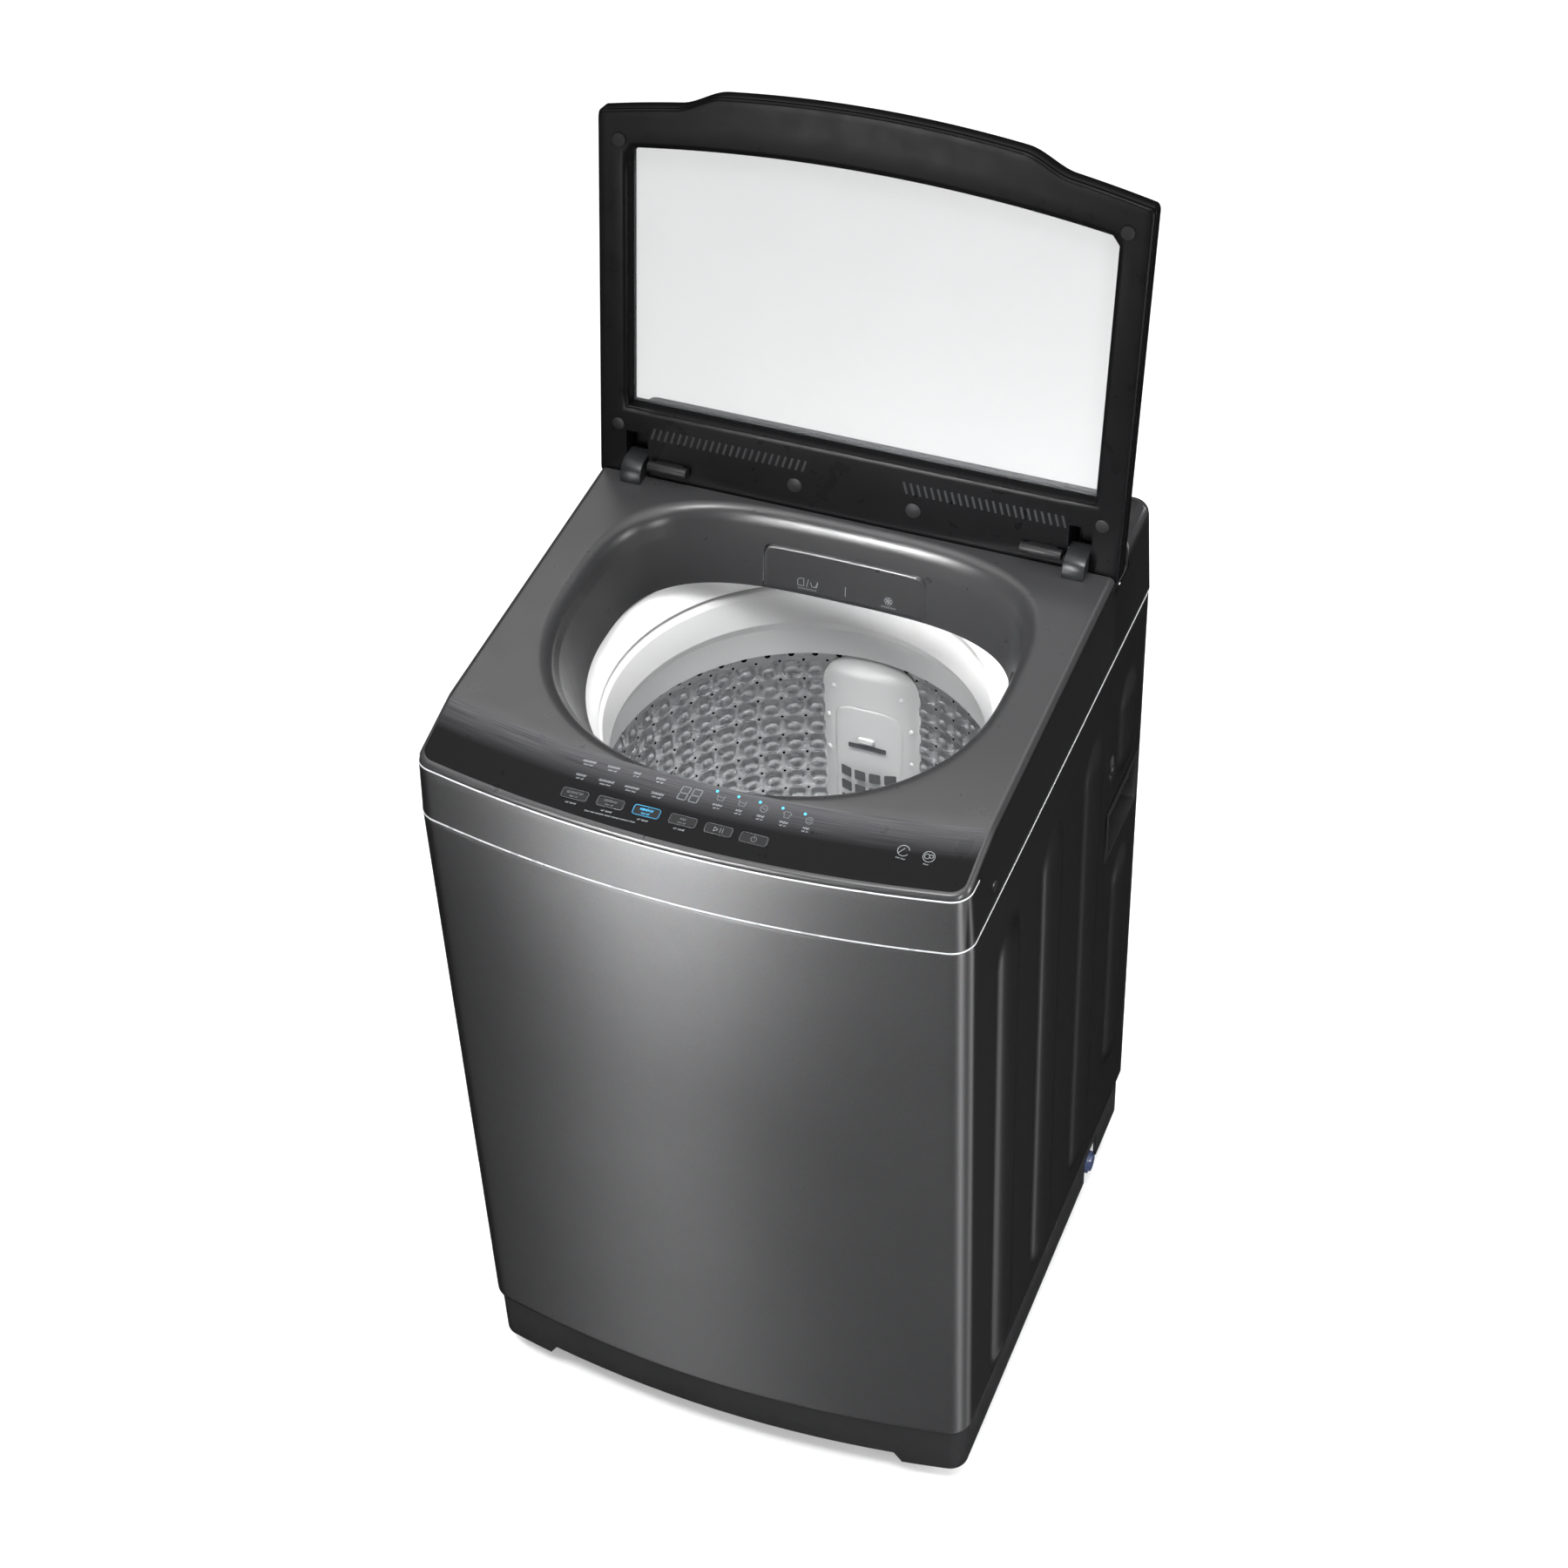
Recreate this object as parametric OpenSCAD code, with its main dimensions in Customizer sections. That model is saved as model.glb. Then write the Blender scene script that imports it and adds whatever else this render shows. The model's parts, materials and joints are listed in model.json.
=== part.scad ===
// Top load washing machine with a crowned front, a sloping console and a glass lid, in millimetres.
// Z is up and the front faces -Y. The origin is on the floor, under the middle of the machine's outline.
// The lid is drawn open, leaning back on its hinge.

/* [Cabinet] */
// Width across the flat cabinet sides
body_w = 540; // [530:1:550]
// Depth from the front's crown to the back
body_d = 565; // [560:1:575]
// How far the front crowns out between its corners
front_crown = 29; // [24:1:32]
// Radius of the front corners, seen from above
corner_r = 24; // [18:1:28]
// Height of the seam between base and cabinet
base_top = 97; // [95:1:99]
// Height of the base's lower edge at its corners
skirt_z = 30; // [28:1:32]
// Height of the seam between cabinet and top cover
cabinet_top = 805; // [803:1:807]
// Thickness of the cabinet's sheet steel
sheet = 1; // [0.8:0.1:1.2]
// How far the side ribs stand out
rib_out = 5; // [3:0.5:6]

/* [Top cover and console] */
// Height of the silver line along the console's front edge
console_z = 870; // [868:1:872]
// Width of the sloping console, front to back
console_w = 75; // [74:1:76]
// Height of the deck where the console begins
deck_z = 891; // [890:0.5:892]
// Slope of the deck, up towards the hinge
deck_slope = 0.0371; // [0.035:0.0005:0.038]
// Height of the rear housing
rear_z = 917; // [914:1:918]
// Wall thickness of the top cover
cover_t = 3; // [2.5:0.5:3]

/* [Lid] */
// Half the lid's width
lid_hw = 269; // [266:0.5:270]
// Reach of the lid's front edge at its middle, from the lower edge of the deck joint
lid_reach = 399; // [396:1:399]
// Thickness of the lid
lid_t = 22; // [22:0.5:24]
// Angle between closed and open
lid_swing = 101.5; // [95:0.5:101.5]
// Slope of the closed lid, down towards the front
lid_slope = 2.1; // [2:0.05:2.2]

/* [Tub and drum] */
// Inner radius of the outer tub
tub_r = 228; // [226:0.5:229]
// Inner radius of the steel drum
drum_r = 205; // [204:0.5:206]
// Height of the drum's floor
drum_floor = 304; // [300:1:306]
// Height where the balance ring meets the steel
ring_z = 694; // [690:1:696]
// Length of the tub's suspension rods
rod_len = 505; // [500:1:506]

/* [Hidden] */
eps = 0.01;
hw = body_w / 2;
front_y = -body_d / 2;
back_y = body_d / 2;

// Plan of the cabinet: a large crown circle, two corner circles and straight sides
crown_r = (hw * hw + front_crown * front_crown) / (2 * front_crown);
crown_y = front_y + crown_r;
corner_y = crown_y - sqrt(pow(crown_r - corner_r, 2) - pow(hw - corner_r, 2));
back_sheet_y = back_y - 3.5;

// Base: raised middle of its front edge, feet and drain outlet
skirt_raise = skirt_z + 14;
foot_x = 222;
foot_y = [-205, 232];
outlet_z = 42;

// Deck, trough behind it and rear housing
deck_y0 = -180;
trough_y = 169.5;
trough_z = 884;
hump_y = 216;
draft = 6.3 / (925 - 805);
console_slope = (deck_z - 1 - console_z) / console_w;

// Laundry opening
drum_y = 16.5;
wall_z = 820;
wall_top = 906;
wall_t = 3;

// Lid pivot and the lid's own frame: pivot at its origin, front towards -Y, top face towards +Z
pivot = [0, 184.1, 916];
lid_y0 = 13.7;
lid_in = -9.5;
lid_out = lid_in + lid_t;
lid_tail = 26.7;
lid_plate = 2.5;
seam_z = lid_in + 3.5;
glass_z = lid_out - lid_plate - 4;
post_x = 217.5;
post_w = 21;
pin_r = 3;
run_gap = 0.06;

// Buttons: middle of each on the console, left to right
button_x = [-104, -69, -34, 1, 35, 68.5];
button_y = -249.3;
button_w = 27;
button_d = 11.5;
button_gap = 0.35;

// Dispenser
drawer_w = 169.4;
drawer_z0 = 820;
drawer_z1 = 871;
wall_back_y = drum_y + 128;

// Tub and drive
tub_t = 3;
tub_floor = 262;
tub_top = 787;
lug_x = 212;
lug_y = 205;
lug_z = 330;
rod_r = 4;
rod_top = 800;
belt_z = 120;
motor_x = -108;
motor_y = drum_y - 108;
pulley_r = 76;
motor_pulley_r = 28;
boss_r = 62;

// ---------- plan outlines ----------

// Cabinet outline, drawn in by i
module plan(i = 0) {
    tangent_x = (crown_r - i) * (hw - corner_r) / (crown_r - corner_r);
    intersection() {
        translate([0, crown_y]) circle(crown_r - i, $fn = 360);
        translate([-tangent_x, front_y - 1]) square([2 * tangent_x, body_d / 2]);
    }
    translate([i - hw, corner_y]) square([body_w - 2 * i, back_y - corner_y - i]);
    for (s = [-1, 1]) translate([s * (hw - corner_r), corner_y]) circle(corner_r - i, $fn = 64);
}

module plan_block(i, z0, z1) {
    translate([0, 0, z0]) linear_extrude(z1 - z0) plan(i);
}

// Outline of the console's black panel, drawn in by i
module panel_plan(i = 0) {
    difference() {
        intersection() {
            plan(9 + i);
            translate([-hw, front_y]) square([body_w, 130]);
        }
        translate([0, crown_y]) circle(crown_r - console_w + 1 + i, $fn = 360);
    }
}

// Superellipse point: half widths a and b, power n, at angle t
function bulge(a, b, n, t) = [
    a * sign(cos(t)) * pow(abs(cos(t)), 2 / n),
    b * sign(sin(t)) * pow(abs(sin(t)), 2 / n)
];

// Round front, squarer back: half width a, centre y, depths and powers of both halves
function opening_points(a, y, front, front_n, rear, rear_n) = [
    for (t = [0:6:354])
        let (p = t < 180 ? bulge(a, rear, rear_n, t) : bulge(a, front, front_n, t))
        [p[0], y + p[1]]
];

module opening_top(i = 0) {
    polygon(opening_points(217 + i, -15, 191.5 + i, 2.3, 170 + i, 3.5));
}

module opening_bottom(i = 0) {
    polygon(opening_points(200 + i, drum_y, 200 + i, 2, wall_back_y - drum_y + i, 3.1));
}

// The laundry opening as a solid plug, grown by i
module opening_plug(i = 0) {
    hull() {
        translate([0, 0, wall_top]) linear_extrude(eps) opening_top(i);
        translate([0, 0, wall_z]) linear_extrude(eps) opening_bottom(i);
    }
}

// Window for the drawer front in the opening's back wall, drawn in by i
module drawer_window(i = 0) {
    r = 9 - i;
    translate([0, wall_back_y - 4, 0]) rotate([-90, 0, 0]) linear_extrude(22) union() {
        translate([i - drawer_w / 2, -drawer_z1 + 9]) square([drawer_w - 2 * i, drawer_z1 - 9 - wall_z + 1]);
        translate([9 - drawer_w / 2, -drawer_z1 + i]) square([drawer_w - 18, 20]);
        for (s = [-1, 1]) translate([s * (drawer_w / 2 - 9), -drawer_z1 + 9]) circle(r, $fn = 32);
    }
}

// ---------- cabinet ----------

module base() {
    block_z = skirt_z + 4;
    color("#2b2b2c") difference() {
        union() {
            difference() {
                plan_block(4.4, skirt_z, base_top - 0.3);
                plan_block(8, skirt_z - 1, base_top + 1);
                // The skirt is raised between the front corners, with a short slope at each end
                translate([0, front_y - 1, 0]) rotate([-90, 0, 0]) linear_extrude(60)
                    polygon([[-202, 0], [202, 0], [202, -skirt_z - 1], [194, -skirt_raise], [-194, -skirt_raise], [-202, -skirt_z - 1]]);
            }
            // Top flange that carries the cabinet
            difference() {
                plan_block(4.4, base_top - 4, base_top - 0.3);
                plan_block(24, base_top - 5, base_top + 1);
            }
            // Foot blocks
            for (sx = [-1, 1]) for (y = foot_y) {
                translate([sx * foot_x, y, block_z]) cylinder(r = 26, h = base_top - 0.3 - block_z, $fn = 48);
                translate([sx * (foot_x + 25) - 15, y - 4, block_z]) cube([30, 8, base_top - 0.3 - block_z]);
            }
        }
        for (sx = [-1, 1]) for (y = foot_y)
            translate([sx * foot_x, y, 0]) cylinder(r = 6.1, h = 84, $fn = 32);
        // Notch that the drain outlet comes through
        translate([hw - 15, 162, 0]) cube([20, 44, outlet_z + 24]);
        // Rear of the skirt is open under the back panel
        translate([-190, back_y - 40, 0]) cube([380, 50, skirt_z + 28]);
    }
}

module rib(y, w, z0, z1, out) {
    r = (w * w / 4 + out * out) / (2 * out);
    intersection() {
        translate([hw - r + out, y, z0]) cylinder(r = r, h = z1 - z0, $fn = 180);
        translate([hw - 2, y, 0]) rotate([0, 90, 0]) linear_extrude(12) union() {
            translate([w / 2 - z1, -w / 2]) square([z1 - z0 - w, w]);
            for (z = [z0 + w / 2, z1 - w / 2]) translate([-z, 0]) circle(w / 2, $fn = 64);
        }
    }
}

// The five ribs of each side, drawn in by i
module ribs(i) {
    for (m = [0, 1]) mirror([m, 0, 0]) {
        rib(-144, 60 - 2 * i, 108 + i, 742 - i, rib_out - i);
        rib(-16, 62 - 2 * i, 121 + i, 742 - i, rib_out - i);
        rib(112, 62 - 2 * i, 129 + i, 742 - i, rib_out - i);
        rib(222, 54 - 2 * i, 624 + i, 742 - i, rib_out - i);
        rib(222, 54 - 2 * i, 188 + i, 500 - i, rib_out - i);
    }
}

module handle_hole(grow = 0) {
    for (s = [-1, 1])
        translate([s * hw - 8, 168 - grow, 538 - grow]) cube([16, 98 + 2 * grow, 62 + 2 * grow]);
}

module cabinet_shell() {
    color("#4a4a4c") difference() {
        union() {
            plan_block(0, base_top, cabinet_top);
            ribs(0);
        }
        difference() {
            union() {
                plan_block(sheet, base_top - 1, cabinet_top + 1);
                ribs(sheet);
                translate([sheet - hw, 0, base_top - 1]) cube([body_w - 2 * sheet, back_y + 1, 800]);
            }
            // Folded flanges that the back panel screws to
            for (s = [-1, 1])
                translate([s * (hw - 8) - 8, back_sheet_y - 1.2, base_top]) cube([16, 1, cabinet_top - base_top]);
        }
        handle_hole();
    }
}

module back_panel() {
    color("#55565a") difference() {
        union() {
            translate([1.3 - hw, back_sheet_y, base_top + 0.3]) cube([body_w - 2.6, sheet, cabinet_top - base_top - 0.6]);
            for (x = [-150:100:150])
                translate([x - 12, back_sheet_y + sheet - eps, 520]) cube([24, 1.2, 240]);
        }
        translate([-170, back_sheet_y - 1, 130]) cube([340, 5, 330]);
        for (z = [600:16:680]) for (x = [-60, 60])
            translate([x - 22, back_sheet_y - 1, z]) cube([44, 5, 5]);
        for (s = [-1, 1]) for (z = [110, 440, 780])
            translate([s * 262, back_sheet_y - 1, z]) rotate([-90, 0, 0]) cylinder(r = 2.1, h = 5, $fn = 24);
        translate([-215, back_sheet_y - 1, 740]) rotate([-90, 0, 0]) cylinder(r = 9.1, h = 5, $fn = 32);
    }
}

module back_cover() {
    color("#303134") difference() {
        union() {
            translate([-180, back_sheet_y + sheet + 0.1, 120]) cube([360, 1.5, 350]);
            for (x = [-120:60:120])
                translate([x - 9, back_sheet_y + sheet + 1.5, 150]) cube([18, 0.9, 290]);
        }
        for (s = [-1, 1]) for (z = [128, 462])
            translate([s * 172, back_sheet_y, z]) rotate([-90, 0, 0]) cylinder(r = 2.1, h = 6, $fn = 24);
    }
}

// Rubber-soled foot on a threaded stem
module foot(x, y) {
    translate([x, y, 0]) {
        cylinder(r = 20, h = 5, $fn = 48);
        translate([0, 0, 5]) cylinder(r = 16, h = 2.8, $fn = 48);
        translate([0, 0, 7]) cylinder(r = 6, h = 68, $fn = 32);
        // Lock nut under the foot block
        translate([0, 0, skirt_z - 4]) cylinder(r = 11, h = 6, $fn = 6);
    }
}

module rear_feet() {
    color("#1c1c1d") for (s = [-1, 1]) foot(s * foot_x, foot_y[1]);
}

module foot_front_left() {
    color("#1c1c1d") foot(-foot_x, foot_y[0]);
}

module foot_front_right() {
    color("#1c1c1d") foot(foot_x, foot_y[0]);
}

module side_handles() {
    color("#3b3b3d") for (s = [-1, 1]) mirror([s < 0 ? 1 : 0, 0, 0]) difference() {
        union() {
            translate([hw + 0.2, 164, 534]) cube([1.4, 106, 70]);
            translate([hw - 26, 168.4, 538.4]) cube([26.3, 97.2, 61.2]);
        }
        // Shallow dish above, deep finger pocket below
        translate([hw - 6, 171, 541]) cube([10, 92, 56]);
        translate([hw - 24, 171, 541]) cube([20, 92, 26]);
        translate([hw - 26 - eps, 168, 569]) cube([18, 98, 32]);
    }
}

module cabinet_screws() {
    color("#2f3032") {
        for (s = [-1, 1]) {
            translate([s * (hw + 0.1), 177, 653]) rotate([0, s * 90, 0]) cylinder(r = 5.5, h = 1.8, $fn = 32);
            translate([s * (hw - 2.7), -184, 827]) rotate([0, s * 90, 0]) cylinder(r = 6, h = 2.3, $fn = 32);
        }
        for (s = [-1, 1]) for (z = [110, 440, 780])
            translate([s * 262, back_sheet_y + sheet + 0.05, z]) rotate([-90, 0, 0]) cylinder(r = 4, h = 1.8, $fn = 24);
        for (s = [-1, 1]) for (z = [128, 462])
            translate([s * 172, back_sheet_y + sheet + 1.65, z]) rotate([-90, 0, 0]) cylinder(r = 3, h = 0.8, $fn = 24);
    }
}

module cord_gland() {
    color("#222224") translate([-215, back_sheet_y, 740]) rotate([-90, 0, 0]) difference() {
        union() {
            translate([0, 0, -6]) cylinder(r = 9, h = 8.5, $fn = 32);
            translate([0, 0, 1.1]) cylinder(r = 12, h = 2.3, $fn = 32);
            translate([0, 0, -9]) cylinder(r = 12, h = 8.9, $fn = 32);
        }
        translate([0, 0, -10]) cylinder(r = 4, h = 20, $fn = 24);
    }
}

module drain_outlet() {
    color("#3c4250") translate([hw - 14, 184, outlet_z]) difference() {
        union() {
            rotate([0, 90, 0]) cylinder(r = 13, h = 9, $fn = 40);
            translate([-24, 0, 0]) rotate([0, 90, 0]) cylinder(r = 10, h = 36, $fn = 40);
            translate([-4, -19, -14]) cube([2.5, 38, 36]);
        }
        translate([-25, 0, 0]) rotate([0, 90, 0]) cylinder(r = 7.5, h = 34, $fn = 40);
    }
}

// ---------- top cover and console ----------

module drafted_block(i, z0, z1) {
    hull() {
        translate([0, 0, z0]) linear_extrude(eps) plan(i + draft * (z0 - cabinet_top));
        translate([0, 0, z1]) linear_extrude(eps) plan(i + draft * (z1 - cabinet_top));
    }
}

function deck_at(y) = deck_z + (y - deck_y0) * deck_slope;

// Side profile of the cover, lowered and thinned by d
module cover_profile(d) {
    rotate([90, 0, 90]) translate([0, 0, -hw - 10]) linear_extrude(body_w + 20) polygon([
        [front_y - 5, cabinet_top - 1], [front_y - 5, deck_at(front_y - 5) - d],
        [trough_y - d, deck_at(trough_y) - d], [trough_y - d, trough_z - d],
        [hump_y + d, trough_z - d], [hump_y + d, rear_z - d],
        [back_y + 5, rear_z - d], [back_y + 5, cabinet_top - 1]
    ]);
}

// Sloping band of the console between two offsets from its surface
module console_band(low, high) {
    translate([0, crown_y, 0]) rotate([0, 0, -104]) rotate_extrude(angle = 28, $fn = 720) polygon([
        [crown_r - console_w, deck_z - 1 + low], [crown_r + 3, console_z - 3 * console_slope + low],
        [crown_r + 3, console_z - 3 * console_slope + high], [crown_r - console_w, deck_z - 1 + high]
    ]);
}

// Places children on the console's surface at x, y with Z along its normal
module on_console(x, y) {
    turn = atan2(x, crown_y - y);
    rho = sqrt(x * x + pow(crown_y - y, 2));
    translate([0, crown_y, 0]) rotate([0, 0, turn])
        translate([0, -rho, console_z + (crown_r - rho) * console_slope])
            rotate([atan(console_slope), 0, 0]) children();
}

module rounded_bar(w, d, r, h) {
    linear_extrude(h) union() {
        square([w - 2 * r, d], center = true);
        square([w, d - 2 * r], center = true);
        for (sx = [-1, 1]) for (sy = [-1, 1])
            translate([sx * (w / 2 - r), sy * (d / 2 - r)]) circle(r, $fn = 32);
    }
}

module top_cover() {
    color("#5c5d5f") difference() {
        union() {
            difference() {
                intersection() {
                    drafted_block(0, cabinet_top + 0.3, 925);
                    cover_profile(0);
                }
                intersection() {
                    drafted_block(cover_t, cabinet_top - 1, 926);
                    cover_profile(cover_t);
                    difference() {
                        translate([-hw, front_y, cabinet_top - 2]) cube([body_w, body_d, 200]);
                        console_band(-7, 80);
                    }
                }
                console_band(0, 80);
            }
            intersection() {
                opening_plug(wall_t);
                translate([-hw, front_y, wall_z]) cube([body_w, body_d, deck_z - wall_z - 2]);
            }
        }
        opening_plug(0);
        drawer_window(0);
        // Seat of the black panel and the slot for its buttons and display
        intersection() {
            console_band(-2.5, 40);
            translate([0, 0, 800]) linear_extrude(150) panel_plan(-0.3);
        }
        translate([-125, button_y - 8.5, 850]) cube([212, 17, 60]);
        translate([-30, -230.5, 850]) cube([52, 14, 60]);
        // Pockets in front of the hinge dampers
        for (s = [-1, 1]) translate([s * 183 - 33, 160.5, 886]) cube([66, 13, 30]);
        // Seat of the rear cover plate
        translate([12 - hw, hump_y + 8, rear_z - 2]) cube([body_w - 24, back_y - hump_y - 16, 10]);
        translate([20 - hw, hump_y + 14, rear_z - 10]) cube([body_w - 40, back_y - hump_y - 28, 20]);
        // Round recesses of the side screws
        for (s = [-1, 1]) translate([s * (hw - 0.8), -184, 827]) rotate([0, s * 90, 0])
            translate([0, 0, -2]) cylinder(r = 9, h = 6, $fn = 40);
        // Oval hole of the spray nozzle in the right wall
        translate([190, 46, 862]) rotate([0, 90, 0]) cylinder(r = 7.2, h = 30, $fn = 40);
        // Holes for the hinge brackets' pegs, and for the water inlet
        for (s = [-1, 1]) translate([s * (post_x + post_w / 2), 180, 870])
            cylinder(r = 3.2, h = 20, $fn = 32);
        translate([60, 270, 866]) rotate([-90, 0, 0]) cylinder(r = 13.4, h = 20, $fn = 48);
    }
}

module rear_cover_plate() {
    color("#57585a") {
        translate([12.4 - hw, hump_y + 8.4, rear_z - 1.9]) cube([body_w - 24.8, back_y - hump_y - 16.8, 1.9]);
        for (s = [-1, 1]) translate([s * 200 - 6, hump_y + 14.5, rear_z - 9]) cube([12, 2, 8]);
    }
}

module control_panel() {
    color("#17181a") difference() {
        intersection() {
            console_band(-2.3, 0.3);
            translate([0, 0, 800]) linear_extrude(150) panel_plan(0);
        }
        for (x = button_x) on_console(x, button_y) translate([0, 0, -6])
            rounded_bar(button_w, button_d, 3, 12);
        on_console(-4, -223) translate([0, 0, -6]) rounded_bar(44, 8, 1.5, 12);
    }
}

module display_lens() {
    color("#0d0e10") on_console(-4, -223) translate([0, 0, -2.6]) rounded_bar(43.6, 7.6, 1.3, 2.8);
}

module control_board() {
    color("#1f5f3a") {
        on_console(-19, -240) translate([0, 0, -19]) rounded_bar(214, 44, 2, 1.6);
        for (x = button_x) on_console(x, button_y) translate([0, 0, -19]) cylinder(r = 2.5, h = 5.5, $fn = 24);
        on_console(-4, -223) translate([0, 0, -18.5]) rounded_bar(40, 6, 1, 15);
    }
}

module button(x) {
    on_console(x, button_y) {
        translate([0, 0, -2.6]) rounded_bar(button_w - 2 * button_gap, button_d - 2 * button_gap, 2.7, 2.9);
        translate([0, 0, -12]) cylinder(r = 2.5, h = 10, $fn = 24);
    }
}

module button_temperature() {
    color("#1b1c1f") button(button_x[0]);
}

module button_program() {
    color("#1b1c1f") button(button_x[1]);
}

module button_process() {
    color("#1b1c1f") button(button_x[2]);
}

module button_set() {
    color("#1b1c1f") button(button_x[3]);
}

module button_start() {
    color("#1b1c1f") button(button_x[4]);
}

module button_power() {
    color("#1b1c1f") button(button_x[5]);
}

// Silver line round the front and sides, standing 0.5 proud of the cover
module trim_line(z, inset, y_end) {
    intersection() {
        difference() {
            plan_block(inset - 0.5, z, z + 1.6);
            plan_block(inset - 0.02, z - 1, z + 3);
        }
        translate([-hw - 5, front_y - 5, z - 5]) cube([body_w + 10, y_end - front_y + 5, 10]);
    }
}

module trim_strips() {
    color("#d8d8da") {
        trim_line(cabinet_top + 1, 0.05, back_y - 2);
        trim_line(console_z - 4, draft * (console_z - 4 - cabinet_top), corner_y + 14);
    }
}

module spray_nozzle() {
    color("#3a3b3d") translate([205, 46, 862]) rotate([0, 90, 0]) difference() {
        cylinder(r = 7, h = 16, $fn = 40);
        translate([0, 0, -1]) cylinder(r = 4.5, h = 14, $fn = 32);
    }
}

module lid_switch() {
    color("#2a2a2c") {
        translate([228, 120, 868]) cube([18, 34, 22]);
        translate([235, 135, 889]) cylinder(r = 3, h = 5, $fn = 24);
    }
}

// ---------- dispenser ----------

module dispenser_housing() {
    w = drawer_w / 2;
    color("#4b4c4e") difference() {
        translate([-w - 3.5, wall_back_y + 10, 823]) cube([2 * w + 7, 102, 53]);
        translate([-w + 0.6, wall_back_y, 825]) cube([2 * w - 1.2, 109, 48]);
        // Water inlet at the back
        translate([60, wall_back_y + 100, 866]) rotate([-90, 0, 0]) cylinder(r = 4.6, h = 20, $fn = 32);
        // Spray holes in the top plate's underside drain through the floor's outlet
        translate([0, wall_back_y + 60, 818]) cylinder(r = 14, h = 10, $fn = 40);
    }
}

module drawer_tray() {
    color("#e4e5e6") {
        difference() {
            translate([-80, wall_back_y + 9, 826.2]) cube([160, 96, 40]);
            translate([-77.5, wall_back_y + 11.5, 828.5]) cube([94, 91, 60]);
            translate([19, wall_back_y + 11.5, 828.5]) cube([58.5, 91, 60]);
        }
        // Siphon of the softener compartment
        translate([48, wall_back_y + 80, 827]) cylinder(r = 7, h = 34, $fn = 32);
    }
}

module drawer_front() {
    color("#4d4e50") {
        intersection() {
            difference() {
                opening_plug(wall_t);
                opening_plug(0);
            }
            drawer_window(0.4);
        }
        for (x = [-60, 48]) translate([x, wall_back_y + 2.6, 832]) cube([12, 6.35, 26]);
    }
}

module inlet_valve() {
    color("#d5d6d8") difference() {
        union() {
            translate([60, 252, 866]) rotate([-90, 0, 0]) cylinder(r = 4.4, h = 6, $fn = 32);
            translate([44, 257, 856]) cube([32, 14, 20]);
            translate([60, 264, 866]) rotate([-90, 0, 0]) cylinder(r = 13, h = back_y - 264, $fn = 48);
            translate([80, 267, 866]) rotate([0, 90, 0]) cylinder(r = 9, h = 22, $fn = 32);
            translate([74, 262, 860]) cube([8, 8, 12]);
        }
        translate([60, back_y - 12, 866]) rotate([-90, 0, 0]) cylinder(r = 8, h = 14, $fn = 40);
    }
}

// ---------- lid ----------

module lid_frame() {
    translate(pivot) rotate([lid_slope - lid_swing, 0, 0]) children();
}

function smooth(a, b, x) = let (t = max(0, min(1, (x - a) / (b - a)))) t * t * (3 - 2 * t);

// Reach of the lid's front edge at x: a shallow arc with a finger grip in the middle
function lid_front(x) = lid_reach - 28 * pow(x / 265, 2) + 12 * (1 - smooth(144, 190, abs(x)));

module lid_outline(i = 0) {
    w = lid_hw - i;
    polygon(concat(
        [for (a = [0:15:90]) [w - 12 + 12 * cos(a), lid_tail - i - 12 + 12 * sin(a)]],
        [for (a = [90:15:180]) [12 - w + 12 * cos(a), lid_tail - i - 12 + 12 * sin(a)]],
        [[-w, lid_y0 - lid_front(w) + 9 + i]],
        [for (x = [-w + 4:6:w - 4]) [x, lid_y0 - lid_front(x) + i]],
        [[w - 4, lid_y0 - lid_front(w - 4) + i], [w, lid_y0 - lid_front(w) + 9 + i]]
    ));
}

// Window: curved top edge, clipped corners
module window_outline(i = 0) {
    w = 238 - i;
    polygon(concat(
        [[w, lid_y0 - 71 - i], [-w, lid_y0 - 71 - i]],
        [[-w, lid_y0 - 329 + i]],
        [for (x = [-w + 6:12:w - 6]) [x, lid_y0 - 354.5 + 16.5 * pow(x / 232, 2) + i]],
        [[w - 6, lid_y0 - 354.5 + 16.5 * pow((w - 6) / 232, 2) + i], [w, lid_y0 - 329 + i]]
    ));
}

// Cut-outs that let the lid turn round the hinge brackets
module bracket_notches(top) {
    for (s = [-1, 1])
        translate([s * (post_x + post_w / 2) - post_w / 2 - 1.1, -30.5, lid_in - 3]) cube([post_w + 2.2, 60, top - lid_in + 3]);
}

module lid_outer_frame() {
    color("#1a1a1b") lid_frame() difference() {
        translate([0, 0, seam_z + 0.1]) linear_extrude(lid_out - seam_z - 0.1) lid_outline(0);
        difference() {
            translate([0, 0, seam_z - 1]) linear_extrude(lid_out - lid_plate - seam_z + 1) lid_outline(2.5);
        }
        translate([0, 0, lid_in]) linear_extrude(40) window_outline(0);
        bracket_notches(lid_out - lid_plate - eps);
    }
}

module vent_slots() {
    for (s = [-1, 1]) for (k = [0:24])
        translate([s * (52 + 6.9 * k), lid_y0 - 46, lid_in - 1]) rotate([0, 0, -s * 17])
            translate([-1.2, -7, 0]) cube([2.4, 14, 6]);
}

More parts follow.
